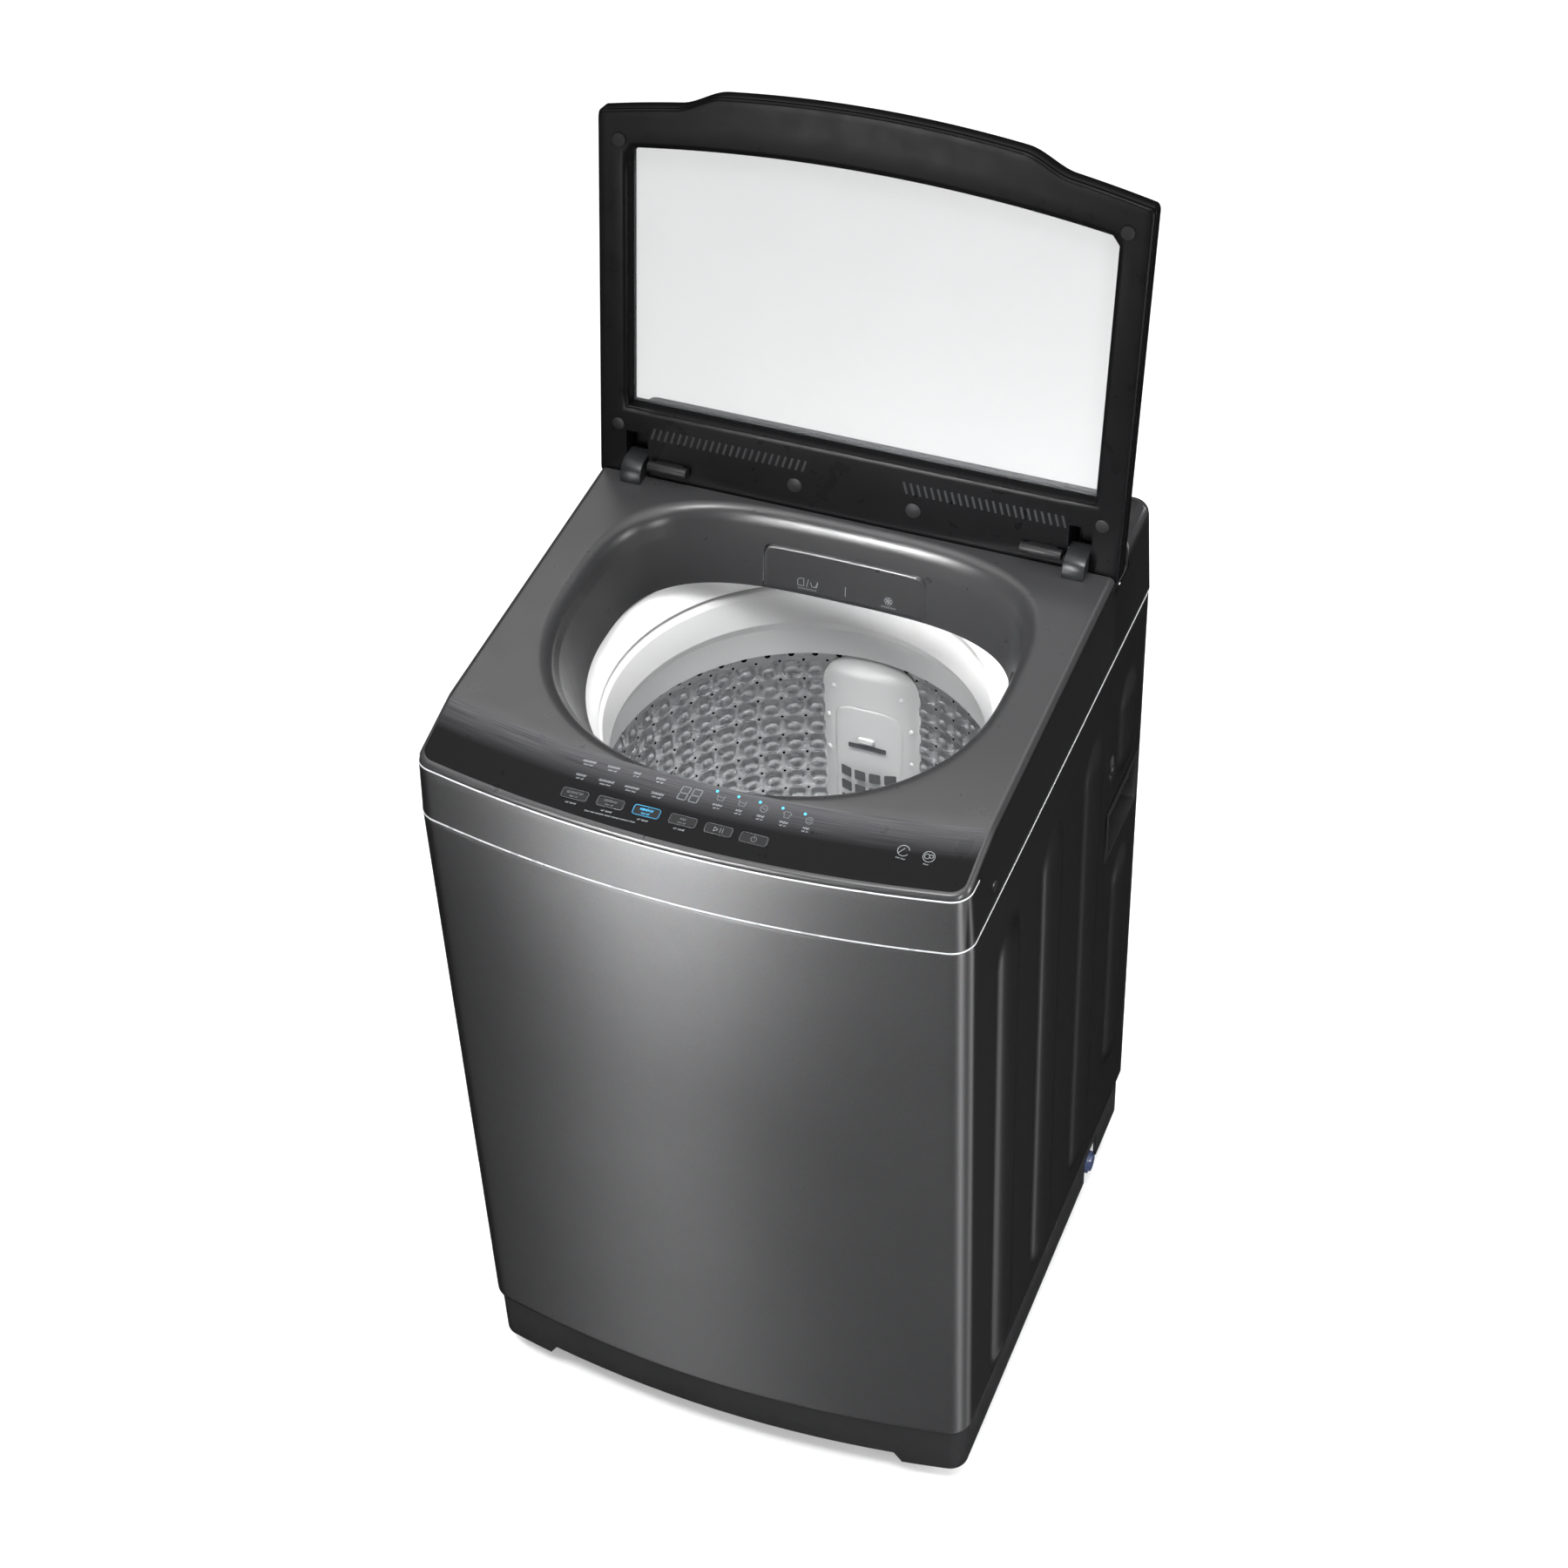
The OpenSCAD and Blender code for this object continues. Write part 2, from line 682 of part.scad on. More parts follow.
module lid_inner_frame() {
    color("#1d1d1e") lid_frame() difference() {
        union() {
            translate([0, 0, lid_in]) linear_extrude(seam_z - lid_in) lid_outline(0.8);
            // Wall round the window, up to the glass
            translate([0, 0, lid_in]) linear_extrude(glass_z - lid_in - 0.1) window_outline(-3);
            // Hinge eyes on both sides of each bracket
            for (s = [-1, 1]) translate([s * 228 - 23, -9, lid_in]) cube([46, 26, 19]);
        }
        translate([0, 0, lid_in - 1]) linear_extrude(40) window_outline(0);
        bracket_notches(lid_out - lid_plate - eps);
        vent_slots();
        for (s = [-1, 1]) translate([s * 228 - 30, 0, 0]) rotate([0, 90, 0])
            cylinder(r = pin_r + run_gap, h = 60, $fn = 40);
    }
}

module lid_glass() {
    color("#d9dde0", 0.35) lid_frame()
        translate([0, 0, glass_z]) linear_extrude(3.9) window_outline(-8);
}

module lid_screw_caps() {
    color("#141415") lid_frame() for (s = [-1, 1]) {
        translate([s * 248, lid_y0 - 50, lid_in - 0.9]) cylinder(r = 6.5, h = 0.85, $fn = 40);
        translate([s * 61, lid_y0 - 23.5, lid_in - 0.9]) cylinder(r = 7.5, h = 0.85, $fn = 40);
    }
}

module lid_bumpers() {
    color("#101010") lid_frame() for (s = [-1, 1])
        translate([s * 246, lid_y0 - 345, lid_in - 1.8]) cylinder(r = 6.5, h = 1.75, $fn = 40);
}

module hinge_dampers() {
    color("#242425") lid_frame() for (s = [-1, 1]) {
        translate([s * 192.5 - 20.5, 0.4, -15.1]) rotate([0, 90, 0]) cylinder(r = 5.5, h = 41, $fn = 40);
        translate([s * 192.5 - 14, -4.6, -12.1]) cube([28, 10, 2.4]);
    }
}

// Bracket standing in the trough, with the bore for its hinge pin
module hinge_brackets() {
    py = pivot[1];
    pz = pivot[2];
    color("#6a6b6d") for (s = [-1, 1]) {
        translate([s * (post_x + post_w / 2) - post_w / 2, 0, 0]) rotate([90, 0, 90]) linear_extrude(post_w)
            difference() {
                union() {
                    translate([py, pz]) circle(8, $fn = 48);
                    polygon([
                        [154.5, 904.1], [156, 912], [160, 919], [167, 923], [py, pz + 7.9], [py + 3, pz],
                        [py + 3, trough_z + 0.1], [trough_y + 0.3, trough_z + 0.1], [trough_y + 0.3, 904.1]
                    ]);
                }
                translate([py, pz]) circle(pin_r, $fn = 40);
            }
        translate([s * (post_x + post_w / 2), 180, 876]) cylinder(r = 3, h = 9, $fn = 32);
    }
}

module hinge_pins() {
    color("#a8a9ab") for (s = [-1, 1])
        translate([s * 228 - 22, pivot[1], pivot[2]]) rotate([0, 90, 0]) cylinder(r = pin_r, h = 44, $fn = 40);
}

// ---------- suspended tub ----------

module at_lugs() {
    for (sx = [-1, 1]) for (sy = [-1, 1]) translate([sx * lug_x, drum_y + sy * lug_y, 0]) children();
}

module outer_tub() {
    color("#e9eaeb") difference() {
        union() {
            translate([0, drum_y, tub_floor]) cylinder(r = tub_r + tub_t, h = tub_top - tub_floor, $fn = 180);
            at_lugs() translate([0, 0, lug_z]) cylinder(r = 15, h = 24, $fn = 40);
            for (sx = [-1, 1]) for (sy = [-1, 1])
                translate([sx * 185, drum_y + sy * 179, lug_z + 12]) rotate([0, 0, sx * sy * 44])
                    cube([66, 16, 24], center = true);
        }
        translate([0, drum_y, tub_floor + 4]) cylinder(r = tub_r, h = 600, $fn = 180);
        translate([0, drum_y, tub_floor - 1]) cylinder(r = 24, h = 20, $fn = 48);
        translate([130, drum_y + 120, tub_floor - 1]) cylinder(r = 14, h = 20, $fn = 40);
        at_lugs() translate([0, 0, lug_z - 1]) cylinder(r = 6, h = 60, $fn = 32);
    }
}

module tub_cover() {
    color("#f0f1f2") translate([0, drum_y, 0]) rotate_extrude($fn = 180) polygon([
        [190, 787.5], [192.5, 787.5], [207, 811], [207, 790], [tub_r + tub_t + 2, 790],
        [tub_r + tub_t + 2, 779], [tub_r + tub_t + 4, 779], [tub_r + tub_t + 4, 792.5],
        [209.5, 792.5], [209.5, 815], [206, 815]
    ]);
}

module tub_frame() {
    color("#8d9094") difference() {
        union() {
            for (a = [0:60:120]) translate([0, drum_y, 0]) rotate([0, 0, a + 15])
                translate([-200, -20, 250]) cube([400, 40, 11.8]);
            translate([0, drum_y, 246]) cylinder(r = 78, h = 15.8, $fn = 60);
            translate([motor_x, motor_y, 246]) cylinder(r = 70, h = 8, $fn = 60);
        }
        translate([0, drum_y, 240]) cylinder(r = 24, h = 30, $fn = 48);
        translate([motor_x, motor_y, 240]) cylinder(r = 50, h = 9.9, $fn = 48);
    }
}

module gearcase() {
    color("#9a9da1") translate([0, drum_y, 0]) difference() {
        union() {
            translate([0, 0, 150]) cylinder(r = boss_r, h = 80, $fn = 60);
            translate([0, 0, 229]) cylinder(r = 76, h = 16.9, $fn = 60);
            translate([0, 0, 244]) cylinder(r = 23.5, h = 40, $fn = 48);
            translate([0, 0, 134]) cylinder(r = 30, h = 17, $fn = 48);
        }
        translate([0, 0, 200]) cylinder(r = 14.05, h = 100, $fn = 48);
        translate([0, 0, 130]) cylinder(r = 10.06, h = 80, $fn = 40);
    }
}

module motor() {
    color("#6f7276") translate([motor_x, motor_y, 0]) difference() {
        union() {
            translate([0, 0, 146]) cylinder(r = 48, h = 99.8, $fn = 60);
            for (z = [158, 226]) translate([0, 0, z]) cylinder(r = 52, h = 10, $fn = 60);
            translate([0, 0, 138]) cylinder(r = 18, h = 9, $fn = 40);
        }
        translate([0, 0, 130]) cylinder(r = 6.06, h = 80, $fn = 32);
    }
}

// Flat belt round both pulleys, with a little clearance to each
module belt_outline(extra) {
    reach = sqrt(2) * 108;
    turn = acos((pulley_r - motor_pulley_r) / reach);
    big = pulley_r + extra;
    small = motor_pulley_r + extra;
    translate([0, drum_y]) rotate([0, 0, atan2(motor_y - drum_y, motor_x)]) polygon(concat(
        [for (k = [0:24]) let (a = turn + (360 - 2 * turn) * k / 24) [big * cos(a), big * sin(a)]],
        [for (k = [0:10]) let (a = 2 * turn * k / 10 - turn) [reach + small * cos(a), small * sin(a)]]
    ));
}

module drive_belt() {
    color("#1b1b1b") translate([0, 0, belt_z - 4.5]) linear_extrude(9) difference() {
        belt_outline(4.4);
        belt_outline(0.35);
    }
}

// Flanged pulley with its shaft, which ends at height top
module pulley(r, shaft_r, top) {
    translate([0, 0, belt_z - 5.5]) cylinder(r = r, h = 11, $fn = 120);
    for (z = [belt_z - 7.5, belt_z + 5.1]) translate([0, 0, z]) cylinder(r = r + 5, h = 2.4, $fn = 120);
    translate([0, 0, belt_z - 10]) cylinder(r = shaft_r, h = top - belt_z + 10, $fn = 40);
}

module driven_pulley() {
    color("#b4b6b9") translate([0, drum_y, 0]) difference() {
        pulley(pulley_r, 10, 195);
        for (a = [0:60:300]) rotate([0, 0, a]) translate([46, 0, 100]) cylinder(r = 15, h = 40, $fn = 40);
    }
}

module motor_pulley() {
    color("#a6a8ab") translate([motor_x, motor_y, 0]) pulley(motor_pulley_r, 6, 205);
}

module drain_valve() {
    color("#d9dadc") difference() {
        union() {
            translate([130, drum_y + 120, 236]) cylinder(r = 13.8, h = 29.8, $fn = 40);
            translate([130, drum_y + 120, 196]) cylinder(r = 26, h = 41, $fn = 48);
            translate([82, drum_y + 100, 200]) cube([34, 40, 32]);
            translate([150, drum_y + 120, 212]) rotate([0, 90, 0]) cylinder(r = 9.5, h = 24, $fn = 40);
        }
        translate([130, drum_y + 120, 206]) cylinder(r = 10, h = 70, $fn = 40);
        translate([140, drum_y + 120, 212]) rotate([0, 90, 0]) cylinder(r = 7, h = 40, $fn = 40);
    }
}

// Short elbow hose from the valve down towards the outlet
module drain_hose() {
    color("#77797d") translate([0, drum_y + 120, 0]) {
        difference() {
            union() {
                translate([160, 0, 212]) rotate([0, 90, 0]) cylinder(r = 12.5, h = 28, $fn = 40);
                translate([188, 0, 212]) sphere(r = 12.5, $fn = 40);
                translate([188, 0, 112]) cylinder(r = 12.5, h = 100, $fn = 40);
            }
            translate([159, 0, 212]) rotate([0, 90, 0]) cylinder(r = 9.6, h = 29, $fn = 40);
            translate([188, 0, 111]) cylinder(r = 9.6, h = 101, $fn = 40);
        }
        for (z = [122:12:194]) translate([188, 0, z]) rotate_extrude($fn = 48) translate([12, 0]) circle(2, $fn = 16);
    }
}

module suspension_brackets() {
    color("#4b4c4f") at_lugs() difference() {
        translate([0, 0, 784]) cylinder(r = 17, h = 12, $fn = 48);
        translate([0, 0, 780]) cylinder(r = rod_r + 0.4, h = 20, $fn = 32);
    }
}

module suspension_rods() {
    color("#c2c4c7") at_lugs() {
        translate([0, 0, rod_top - rod_len]) cylinder(r = rod_r, h = rod_len, $fn = 32);
        translate([0, 0, 796.2]) cylinder(r = 9, h = 6, $fn = 40);
        translate([0, 0, rod_top - rod_len - 3]) cylinder(r = 13, h = 4, $fn = 40);
    }
}

module suspension_springs() {
    color("#b0b2b5") at_lugs()
        for (k = [0:4]) translate([0, 0, 298.9 + 4.9 * k]) rotate_extrude($fn = 48) translate([8.2, 0]) circle(2.6, $fn = 20);
}

module suspension_cups() {
    color("#e2e3e4") at_lugs() difference() {
        translate([0, 0, 321.3]) cylinder(r = 13, h = 8.5, $fn = 40);
        translate([0, 0, 320]) cylinder(r = 5.2, h = 20, $fn = 32);
    }
}

// ---------- drum ----------

module drum_shell() {
    top = ring_z + 18;
    color("#b9bcbf") translate([0, drum_y, 0]) difference() {
        translate([0, 0, drum_floor]) cylinder(r = drum_r + 0.8, h = top - drum_floor, $fn = 180);
        translate([0, 0, drum_floor - 1]) cylinder(r = drum_r, h = 500, $fn = 180);
        for (a = [0:15:345]) rotate([0, 0, a]) translate([drum_r - 5, 0, ring_z - 11]) rotate([0, 90, 0])
            cylinder(r = 3, h = 12, $fn = 24);
        for (z = [drum_floor + 60:106:ring_z - 100]) for (a = [7.5:30:337.5]) rotate([0, 0, a])
            translate([drum_r - 5, 0, z]) rotate([0, 90, 0]) cylinder(r = 1.6, h = 12, $fn = 16);
    }
}

module balance_ring() {
    color("#f4f5f5") translate([0, drum_y, 0]) rotate_extrude($fn = 180) polygon([
        [193.6, ring_z], [drum_r - 0.2, ring_z], [drum_r - 0.2, ring_z + 18.3], [210, ring_z + 18.3],
        [210, 776], [206, 783], [190, 783], [187.5, 779], [183.3, ring_z + 49]
    ]);
}

module drum_base() {
    color("#cfd1d3") translate([0, drum_y, 0]) difference() {
        union() {
            translate([0, 0, 290]) cylinder(r = drum_r - 0.3, h = 14, $fn = 180);
            translate([0, 0, drum_floor - 1]) rotate_extrude($fn = 180)
                polygon([[drum_r - 14, 0], [drum_r - 0.3, 0], [drum_r - 0.3, 24], [drum_r - 3, 24]]);
            translate([0, 0, 286]) cylinder(r = 40, h = 6, $fn = 60);
        }
        translate([0, 0, 280]) cylinder(r = 14, h = 40, $fn = 48);
        for (a = [0:30:330]) rotate([0, 0, a]) translate([120, 0, 280]) cylinder(r = 6, h = 40, $fn = 24);
    }
}

module spin_shaft() {
    color("#c9cbce") translate([0, drum_y, 0]) difference() {
        translate([0, 0, 202]) cylinder(r = 14, h = 102, $fn = 48);
        translate([0, 0, 200]) cylinder(r = 7.06, h = 120, $fn = 40);
    }
}

module wash_shaft() {
    color("#dfe0e2") translate([0, drum_y, 200.5]) cylinder(r = 7, h = 124, $fn = 40);
}

// Outline of the lint filter on the drum's rear wall, grown by i, between two depths
module filter_outline(half_w, z0, z_arch, y0, y1) {
    translate([0, drum_r - y0, 0]) rotate([-90, 0, 0]) linear_extrude(y0 - y1) union() {
        translate([-half_w, -z_arch]) square([2 * half_w, z_arch - z0]);
        translate([0, -z_arch]) circle(half_w, $fn = 64);
    }
}

module filter_pin(r, length) {
    translate([-length / 2, drum_r - 21, 404]) rotate([0, 90, 0]) cylinder(r = r, h = length, $fn = 32);
}

module filter_housing() {
    color("#f2f3f3") translate([0, drum_y, 0]) difference() {
        intersection() {
            translate([0, 0, 382]) cylinder(r = drum_r - 0.3, h = 308, $fn = 180);
            filter_outline(55, 380, 640, 60, -10);
            translate([0, drum_r + 50, 0]) cylinder(r = 78, h = 900, $fn = 120);
        }
        filter_outline(38, 398, 604, 60, 13);
        filter_pin(2.08, 84);
    }
}

module filter_door() {
    color("#e6e7e8") translate([0, drum_y, 0]) difference() {
        union() {
            intersection() {
                filter_outline(37.3, 401.5, 604, 60, 14);
                translate([0, drum_r + 50, 0]) cylinder(r = 77.4, h = 900, $fn = 120);
            }
            filter_pin(2, 82);
        }
        // Lint windows and the finger slot
        for (r = [0:7]) for (c = [-1.5:1.5])
            translate([c * 16 - 6, drum_r - 60, 414 + r * 20]) cube([12, 60, 13]);
        translate([-22, drum_r - 60, 583]) cube([44, 60, 8]);
        // Hollow back
        translate([-33, drum_r - 17, 410]) cube([66, 10, 190]);
    }
}

// Wide low disc with three rounded blades
module pulsator() {
    color("#e3e4e6") translate([0, drum_y, 0]) difference() {
        union() {
            translate([0, 0, drum_floor + 2]) rotate_extrude($fn = 120)
                polygon([[0, 0], [172, 0], [172, 5], [60, 14], [0, 20]]);
            for (a = [0:120:240]) rotate([0, 0, a]) hull() {
                translate([28, 0, drum_floor + 6]) cylinder(r1 = 17, r2 = 8, h = 32, $fn = 32);
                translate([150, 0, drum_floor + 4]) cylinder(r1 = 15, r2 = 6, h = 13, $fn = 32);
            }
            translate([0, 0, drum_floor + 4]) cylinder(r = 30, h = 30, $fn = 60);
        }
        translate([0, 0, 300]) cylinder(r = 7, h = 24.6, $fn = 40);
        translate([0, 0, 324]) cylinder(r = 3.1, h = 40, $fn = 32);
        translate([0, 0, 330]) cylinder(r = 14, h = 40, $fn = 48);
    }
}

module pulsator_screw() {
    color("#c4c6c8") translate([0, drum_y, 0]) {
        translate([0, 0, 330.1]) cylinder(r = 13.5, h = 6, $fn = 48);
        translate([0, 0, 324.7]) cylinder(r = 3, h = 6, $fn = 32);
    }
}

base();
cabinet_shell();
back_panel();
back_cover();
rear_feet();
side_handles();
top_cover();
rear_cover_plate();
control_panel();
display_lens();
control_board();
trim_strips();
hinge_brackets();
hinge_pins();
dispenser_housing();
inlet_valve();
lid_switch();
spray_nozzle();
suspension_brackets();
suspension_rods();
cabinet_screws();
cord_gland();
drain_outlet();
foot_front_left();
foot_front_right();
lid_outer_frame();
lid_inner_frame();
lid_glass();
lid_screw_caps();
lid_bumpers();
hinge_dampers();
drawer_tray();
drawer_front();
button_temperature();
button_program();
button_process();
button_set();
button_start();
button_power();
outer_tub();
tub_cover();
tub_frame();
gearcase();
motor();
drive_belt();
drain_valve();
drain_hose();
suspension_springs();
suspension_cups();
drum_shell();
balance_ring();
drum_base();
spin_shaft();
filter_housing();
filter_door();
pulsator();
pulsator_screw();
wash_shaft();
driven_pulley();
motor_pulley();
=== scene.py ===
import json
import math

import bpy
from mathutils import Matrix, Vector


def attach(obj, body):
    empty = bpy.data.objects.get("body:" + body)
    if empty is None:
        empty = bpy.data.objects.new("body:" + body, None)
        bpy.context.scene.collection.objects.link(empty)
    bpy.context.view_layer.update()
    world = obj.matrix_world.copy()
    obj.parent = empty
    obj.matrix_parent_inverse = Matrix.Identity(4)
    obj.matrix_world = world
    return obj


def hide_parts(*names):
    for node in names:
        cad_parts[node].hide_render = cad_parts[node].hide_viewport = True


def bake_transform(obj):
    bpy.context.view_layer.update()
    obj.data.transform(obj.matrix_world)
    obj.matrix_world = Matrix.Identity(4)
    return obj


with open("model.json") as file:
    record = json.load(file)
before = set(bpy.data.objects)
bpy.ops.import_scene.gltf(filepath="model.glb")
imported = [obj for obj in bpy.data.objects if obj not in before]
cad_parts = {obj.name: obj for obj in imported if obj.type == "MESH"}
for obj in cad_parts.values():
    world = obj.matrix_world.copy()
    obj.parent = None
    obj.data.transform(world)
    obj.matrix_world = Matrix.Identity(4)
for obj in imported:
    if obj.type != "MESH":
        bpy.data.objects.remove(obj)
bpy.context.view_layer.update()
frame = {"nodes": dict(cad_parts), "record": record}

# ---------- the machine's shape, in millimetres ----------
HW, FY, BY = 270.0, -282.5, 282.5
CROWN, CR = 29.0, 24.0
RC = (HW * HW + CROWN * CROWN) / (2 * CROWN)
CY = FY + RC
CNY = CY - math.sqrt((RC - CR) ** 2 - (HW - CR) ** 2)
A0 = math.asin((HW - CR) / (RC - CR))
DRAFT = 6.3 / 120.0
DY = 16.5
SLOPE = 20.0 / 75.0
TROUGH_Y, HUMP_Y, TROUGH_Z, REAR_Z = 169.5, 216.0, 884.0, 917.0


def deck_z(y):
    return 891.0 + (y + 180.0) * 0.0371


def top_z(x, y):
    k = RC - math.hypot(x, CY - y)
    return min(870.0 + k * SLOPE, deck_z(y))


def lerp(a, b, t):
    return a + (b - a) * t


def smooth(a, b, x):
    t = max(0.0, min(1.0, (x - a) / (b - a)))
    return t * t * (3 - 2 * t)


def sgn_pow(v, p):
    return math.copysign(abs(v) ** p, v)


# ---------- mesh helpers ----------
def mesh(name, verts, faces, body, mat, slot=None, replaces=(), shade=True, auto=None):
    m = bpy.data.meshes.new(name)
    m.from_pydata([(x * 0.001, y * 0.001, z * 0.001) for x, y, z in verts], [], faces)
    m.validate()
    m.update()
    if shade:
        m.shade_smooth()
    o = bpy.data.objects.new(name, m)
    bpy.context.scene.collection.objects.link(o)
    m.materials.append(mat)
    if auto:
        m.set_sharp_from_angle(angle=math.radians(auto))
    if body:
        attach(o, body)
    if replaces:
        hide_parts(*replaces)
    return o


class Build:
    """Collects rings, patches and strips into one mesh."""

    def __init__(self):
        self.v = []
        self.f = []

    def add(self, pts):
        n = len(self.v)
        self.v += [tuple(p) for p in pts]
        return list(range(n, n + len(pts)))

    def bridge(self, a, b, closed=True, flip=False):
        n = len(a)
        for i in range(n if closed else n - 1):
            j = (i + 1) % n
            q = (a[i], a[j], b[j], b[i])
            self.f.append(q[::-1] if flip else q)

    def loft(self, rings, closed=True, flip=False):
        ids = [self.add(r) for r in rings]
        for a, b in zip(ids, ids[1:]):
            self.bridge(a, b, closed, flip)
        return ids

    def cap(self, ring, flip=False):
        c = [sum(self.v[i][k] for i in ring) / len(ring) for k in range(3)]
        m = self.add([c])[0]
        for i in range(len(ring)):
            t = (ring[i], ring[(i + 1) % len(ring)], m)
            self.f.append(t[::-1] if flip else t)

    def grid(self, rows, skip=None, flip=False):
        ids = [self.add(r) for r in rows]
        for i in range(len(ids) - 1):
            for j in range(len(ids[0]) - 1):
                if skip and skip(i, j):
                    continue
                q = (ids[i][j], ids[i][j + 1], ids[i + 1][j + 1], ids[i + 1][j])
                self.f.append(q[::-1] if flip else q)
        return ids

    def box(self, lo, hi, place=None):
        x0, y0, z0 = lo
        x1, y1, z1 = hi
        pts = [(x, y, z) for z in (z0, z1) for x, y in ((x0, y0), (x1, y0), (x1, y1), (x0, y1))]
        if place:
            pts = [place(*p) for p in pts]
        n = len(self.v)
        self.v += pts
        for q in ((0, 3, 2, 1), (4, 5, 6, 7), (0, 1, 5, 4), (1, 2, 6, 5), (2, 3, 7, 6), (3, 0, 4, 7)):
            self.f.append(tuple(n + k for k in q))

    def make(self, name, body, mat, **kw):
        return mesh(name, self.v, self.f, body, mat, **kw)


def solid(o, thick):
    m = o.modifiers.new("thick", "SOLIDIFY")
    m.thickness = thick * 0.001
    m.offset = -1.0
    m.use_quality_normals = True


def cut(o, cutters, sharp=45):
    """Takes closed cutter pieces out of a mesh, then keeps the result as plain mesh."""
    for c in cutters:
        m = o.modifiers.new("cut", "BOOLEAN")
        m.operation = "DIFFERENCE"
        m.solver = "EXACT"
        m.object = c
    bpy.context.view_layer.update()
    dg = bpy.context.evaluated_depsgraph_get()
    new = bpy.data.meshes.new_from_object(o.evaluated_get(dg))
    o.modifiers.clear()
    o.data = new
    new.set_sharp_from_angle(angle=math.radians(sharp))
    for c in cutters:
        bpy.data.objects.remove(c, do_unlink=True)
    return o


def circle(r, n, cx=0.0, cy=0.0):
    """n points round a circle."""
    angles = [2 * math.pi * k / n for k in range(n)]
    return [(cx + r * math.cos(a), cy + r * math.sin(a)) for a in angles]


def lathe(profile, name, body, mat, n=180, **kw):
    """Turns a closed profile of (radius, height) round the drum's axis."""
    b = Build()
    b.loft([[(x, y, z) for x, y in circle(r, n, cy=DY)] for r, z in profile])
    return b.make(name, body, mat, **kw)


def fillet(pts, r, n=5, closed=False):
    """Rounds the corners of a profile: r is one radius or one per point."""
    out = []
    m = len(pts)
    for i, p in enumerate(pts):
        rad = r[i] if isinstance(r, (list, tuple)) else r
        if (not closed and i in (0, m - 1)) or rad <= 0:
            out.append(p)
            continue
        a, c = Vector(pts[i - 1]), Vector(pts[(i + 1) % m])
        q = Vector(p)
        u, w = (a - q), (c - q)
        lu, lw = u.length, w.length
        if lu < 1e-6 or lw < 1e-6:
            out.append(p)
            continue
        u.normalize()
        w.normalize()
        ang = u.angle(w, 0.0)
        if ang > math.pi - 0.02 or ang < 0.02:
            out.append(p)
            continue
        t = min(rad / math.tan(ang / 2), lu * 0.49, lw * 0.49)
        s, e = q + u * t, q + w * t
        for k in range(n + 1):
            f = k / n
            out.append(tuple(s * (1 - f) ** 2 + q * 2 * f * (1 - f) + e * f * f))
    return out


# ---------- materials ----------
def node_mat(name):
    m = bpy.data.materials.new(name)
    m.use_nodes = True
    nt = m.node_tree
    return m, nt, nt.nodes["Principled BSDF"]


def feed(nt, socket, value):
    """Links another node's output, or sets a plain value."""
    if isinstance(value, bpy.types.NodeSocket):
        nt.links.new(value, socket)
    else:
        socket.default_value = value


def coords(nt):
    return nt.nodes.new("ShaderNodeTexCoord").outputs["Object"]


def noise(nt, where, scale, detail):
    n = nt.nodes.new("ShaderNodeTexNoise")
    n.inputs["Scale"].default_value = scale
    n.inputs["Detail"].default_value = detail
    nt.links.new(where, n.inputs["Vector"])
    return n.outputs["Fac"]


def remap(nt, value, from_min, from_max, to_min=0.0, to_max=1.0, kind="LINEAR"):
    n = nt.nodes.new("ShaderNodeMapRange")
    n.interpolation_type = kind
    limits = {"From Min": from_min, "From Max": from_max, "To Min": to_min, "To Max": to_max}
    for key, limit in limits.items():
        n.inputs[key].default_value = limit
    nt.links.new(value, n.inputs["Value"])
    return n.outputs["Result"]


def calc(nt, operation, *values):
    n = nt.nodes.new("ShaderNodeMath")
    n.operation = operation
    for k, value in enumerate(values):
        feed(nt, n.inputs[k], value)
    return n.outputs[0]


def mix_colors(nt, streaks_and_highlight, a, b, kind="MIX"):
    n = nt.nodes.new("ShaderNodeMix")
    n.data_type = "RGBA"
    n.blend_type = kind
    feed(nt, n.inputs["Factor"], streaks_and_highlight)
    feed(nt, n.inputs[6], a)
    feed(nt, n.inputs[7], b)
    return n.outputs[2]


def surface(name, base, rough=0.5, metal=0.0, vary=0.06, rough_vary=0.08, grain=900.0, bump=0.02, spec=0.5,
            stretch=(1, 1, 1)):
    """Colour drift, roughness wear and a fine grain on one principled shader."""
    m, nt, bsdf = node_mat(name)
    mapping = nt.nodes.new("ShaderNodeMapping")
    mapping.inputs["Scale"].default_value = stretch
    nt.links.new(coords(nt), mapping.inputs["Vector"])
    where = mapping.outputs["Vector"]
    ramp = nt.nodes.new("ShaderNodeValToRGB")
    for element, place, gain in zip(ramp.color_ramp.elements, (0.3, 0.72), (1 - vary, 1 + vary)):
        element.position = place
        element.color = tuple(min(1, c * gain) for c in base[:3]) + (1,)
    nt.links.new(noise(nt, where, 9.0, 5.0), ramp.inputs["Fac"])
    nt.links.new(ramp.outputs["Color"], bsdf.inputs["Base Color"])
    least, most = max(0.02, rough - rough_vary), min(1.0, rough + rough_vary)
    wear = remap(nt, noise(nt, where, 42.0, 6.0), 0.3, 0.7, least, most)
    nt.links.new(wear, bsdf.inputs["Roughness"])
    relief = nt.nodes.new("ShaderNodeBump")
    relief.inputs["Strength"].default_value = bump
    relief.inputs["Distance"].default_value = 0.0006
    nt.links.new(noise(nt, where, grain, 2.0), relief.inputs["Height"])
    nt.links.new(relief.outputs["Normal"], bsdf.inputs["Normal"])
    bsdf.inputs["Metallic"].default_value = metal
    bsdf.inputs["Specular IOR Level"].default_value = spec
    return m, nt, bsdf, ramp.outputs["Color"]


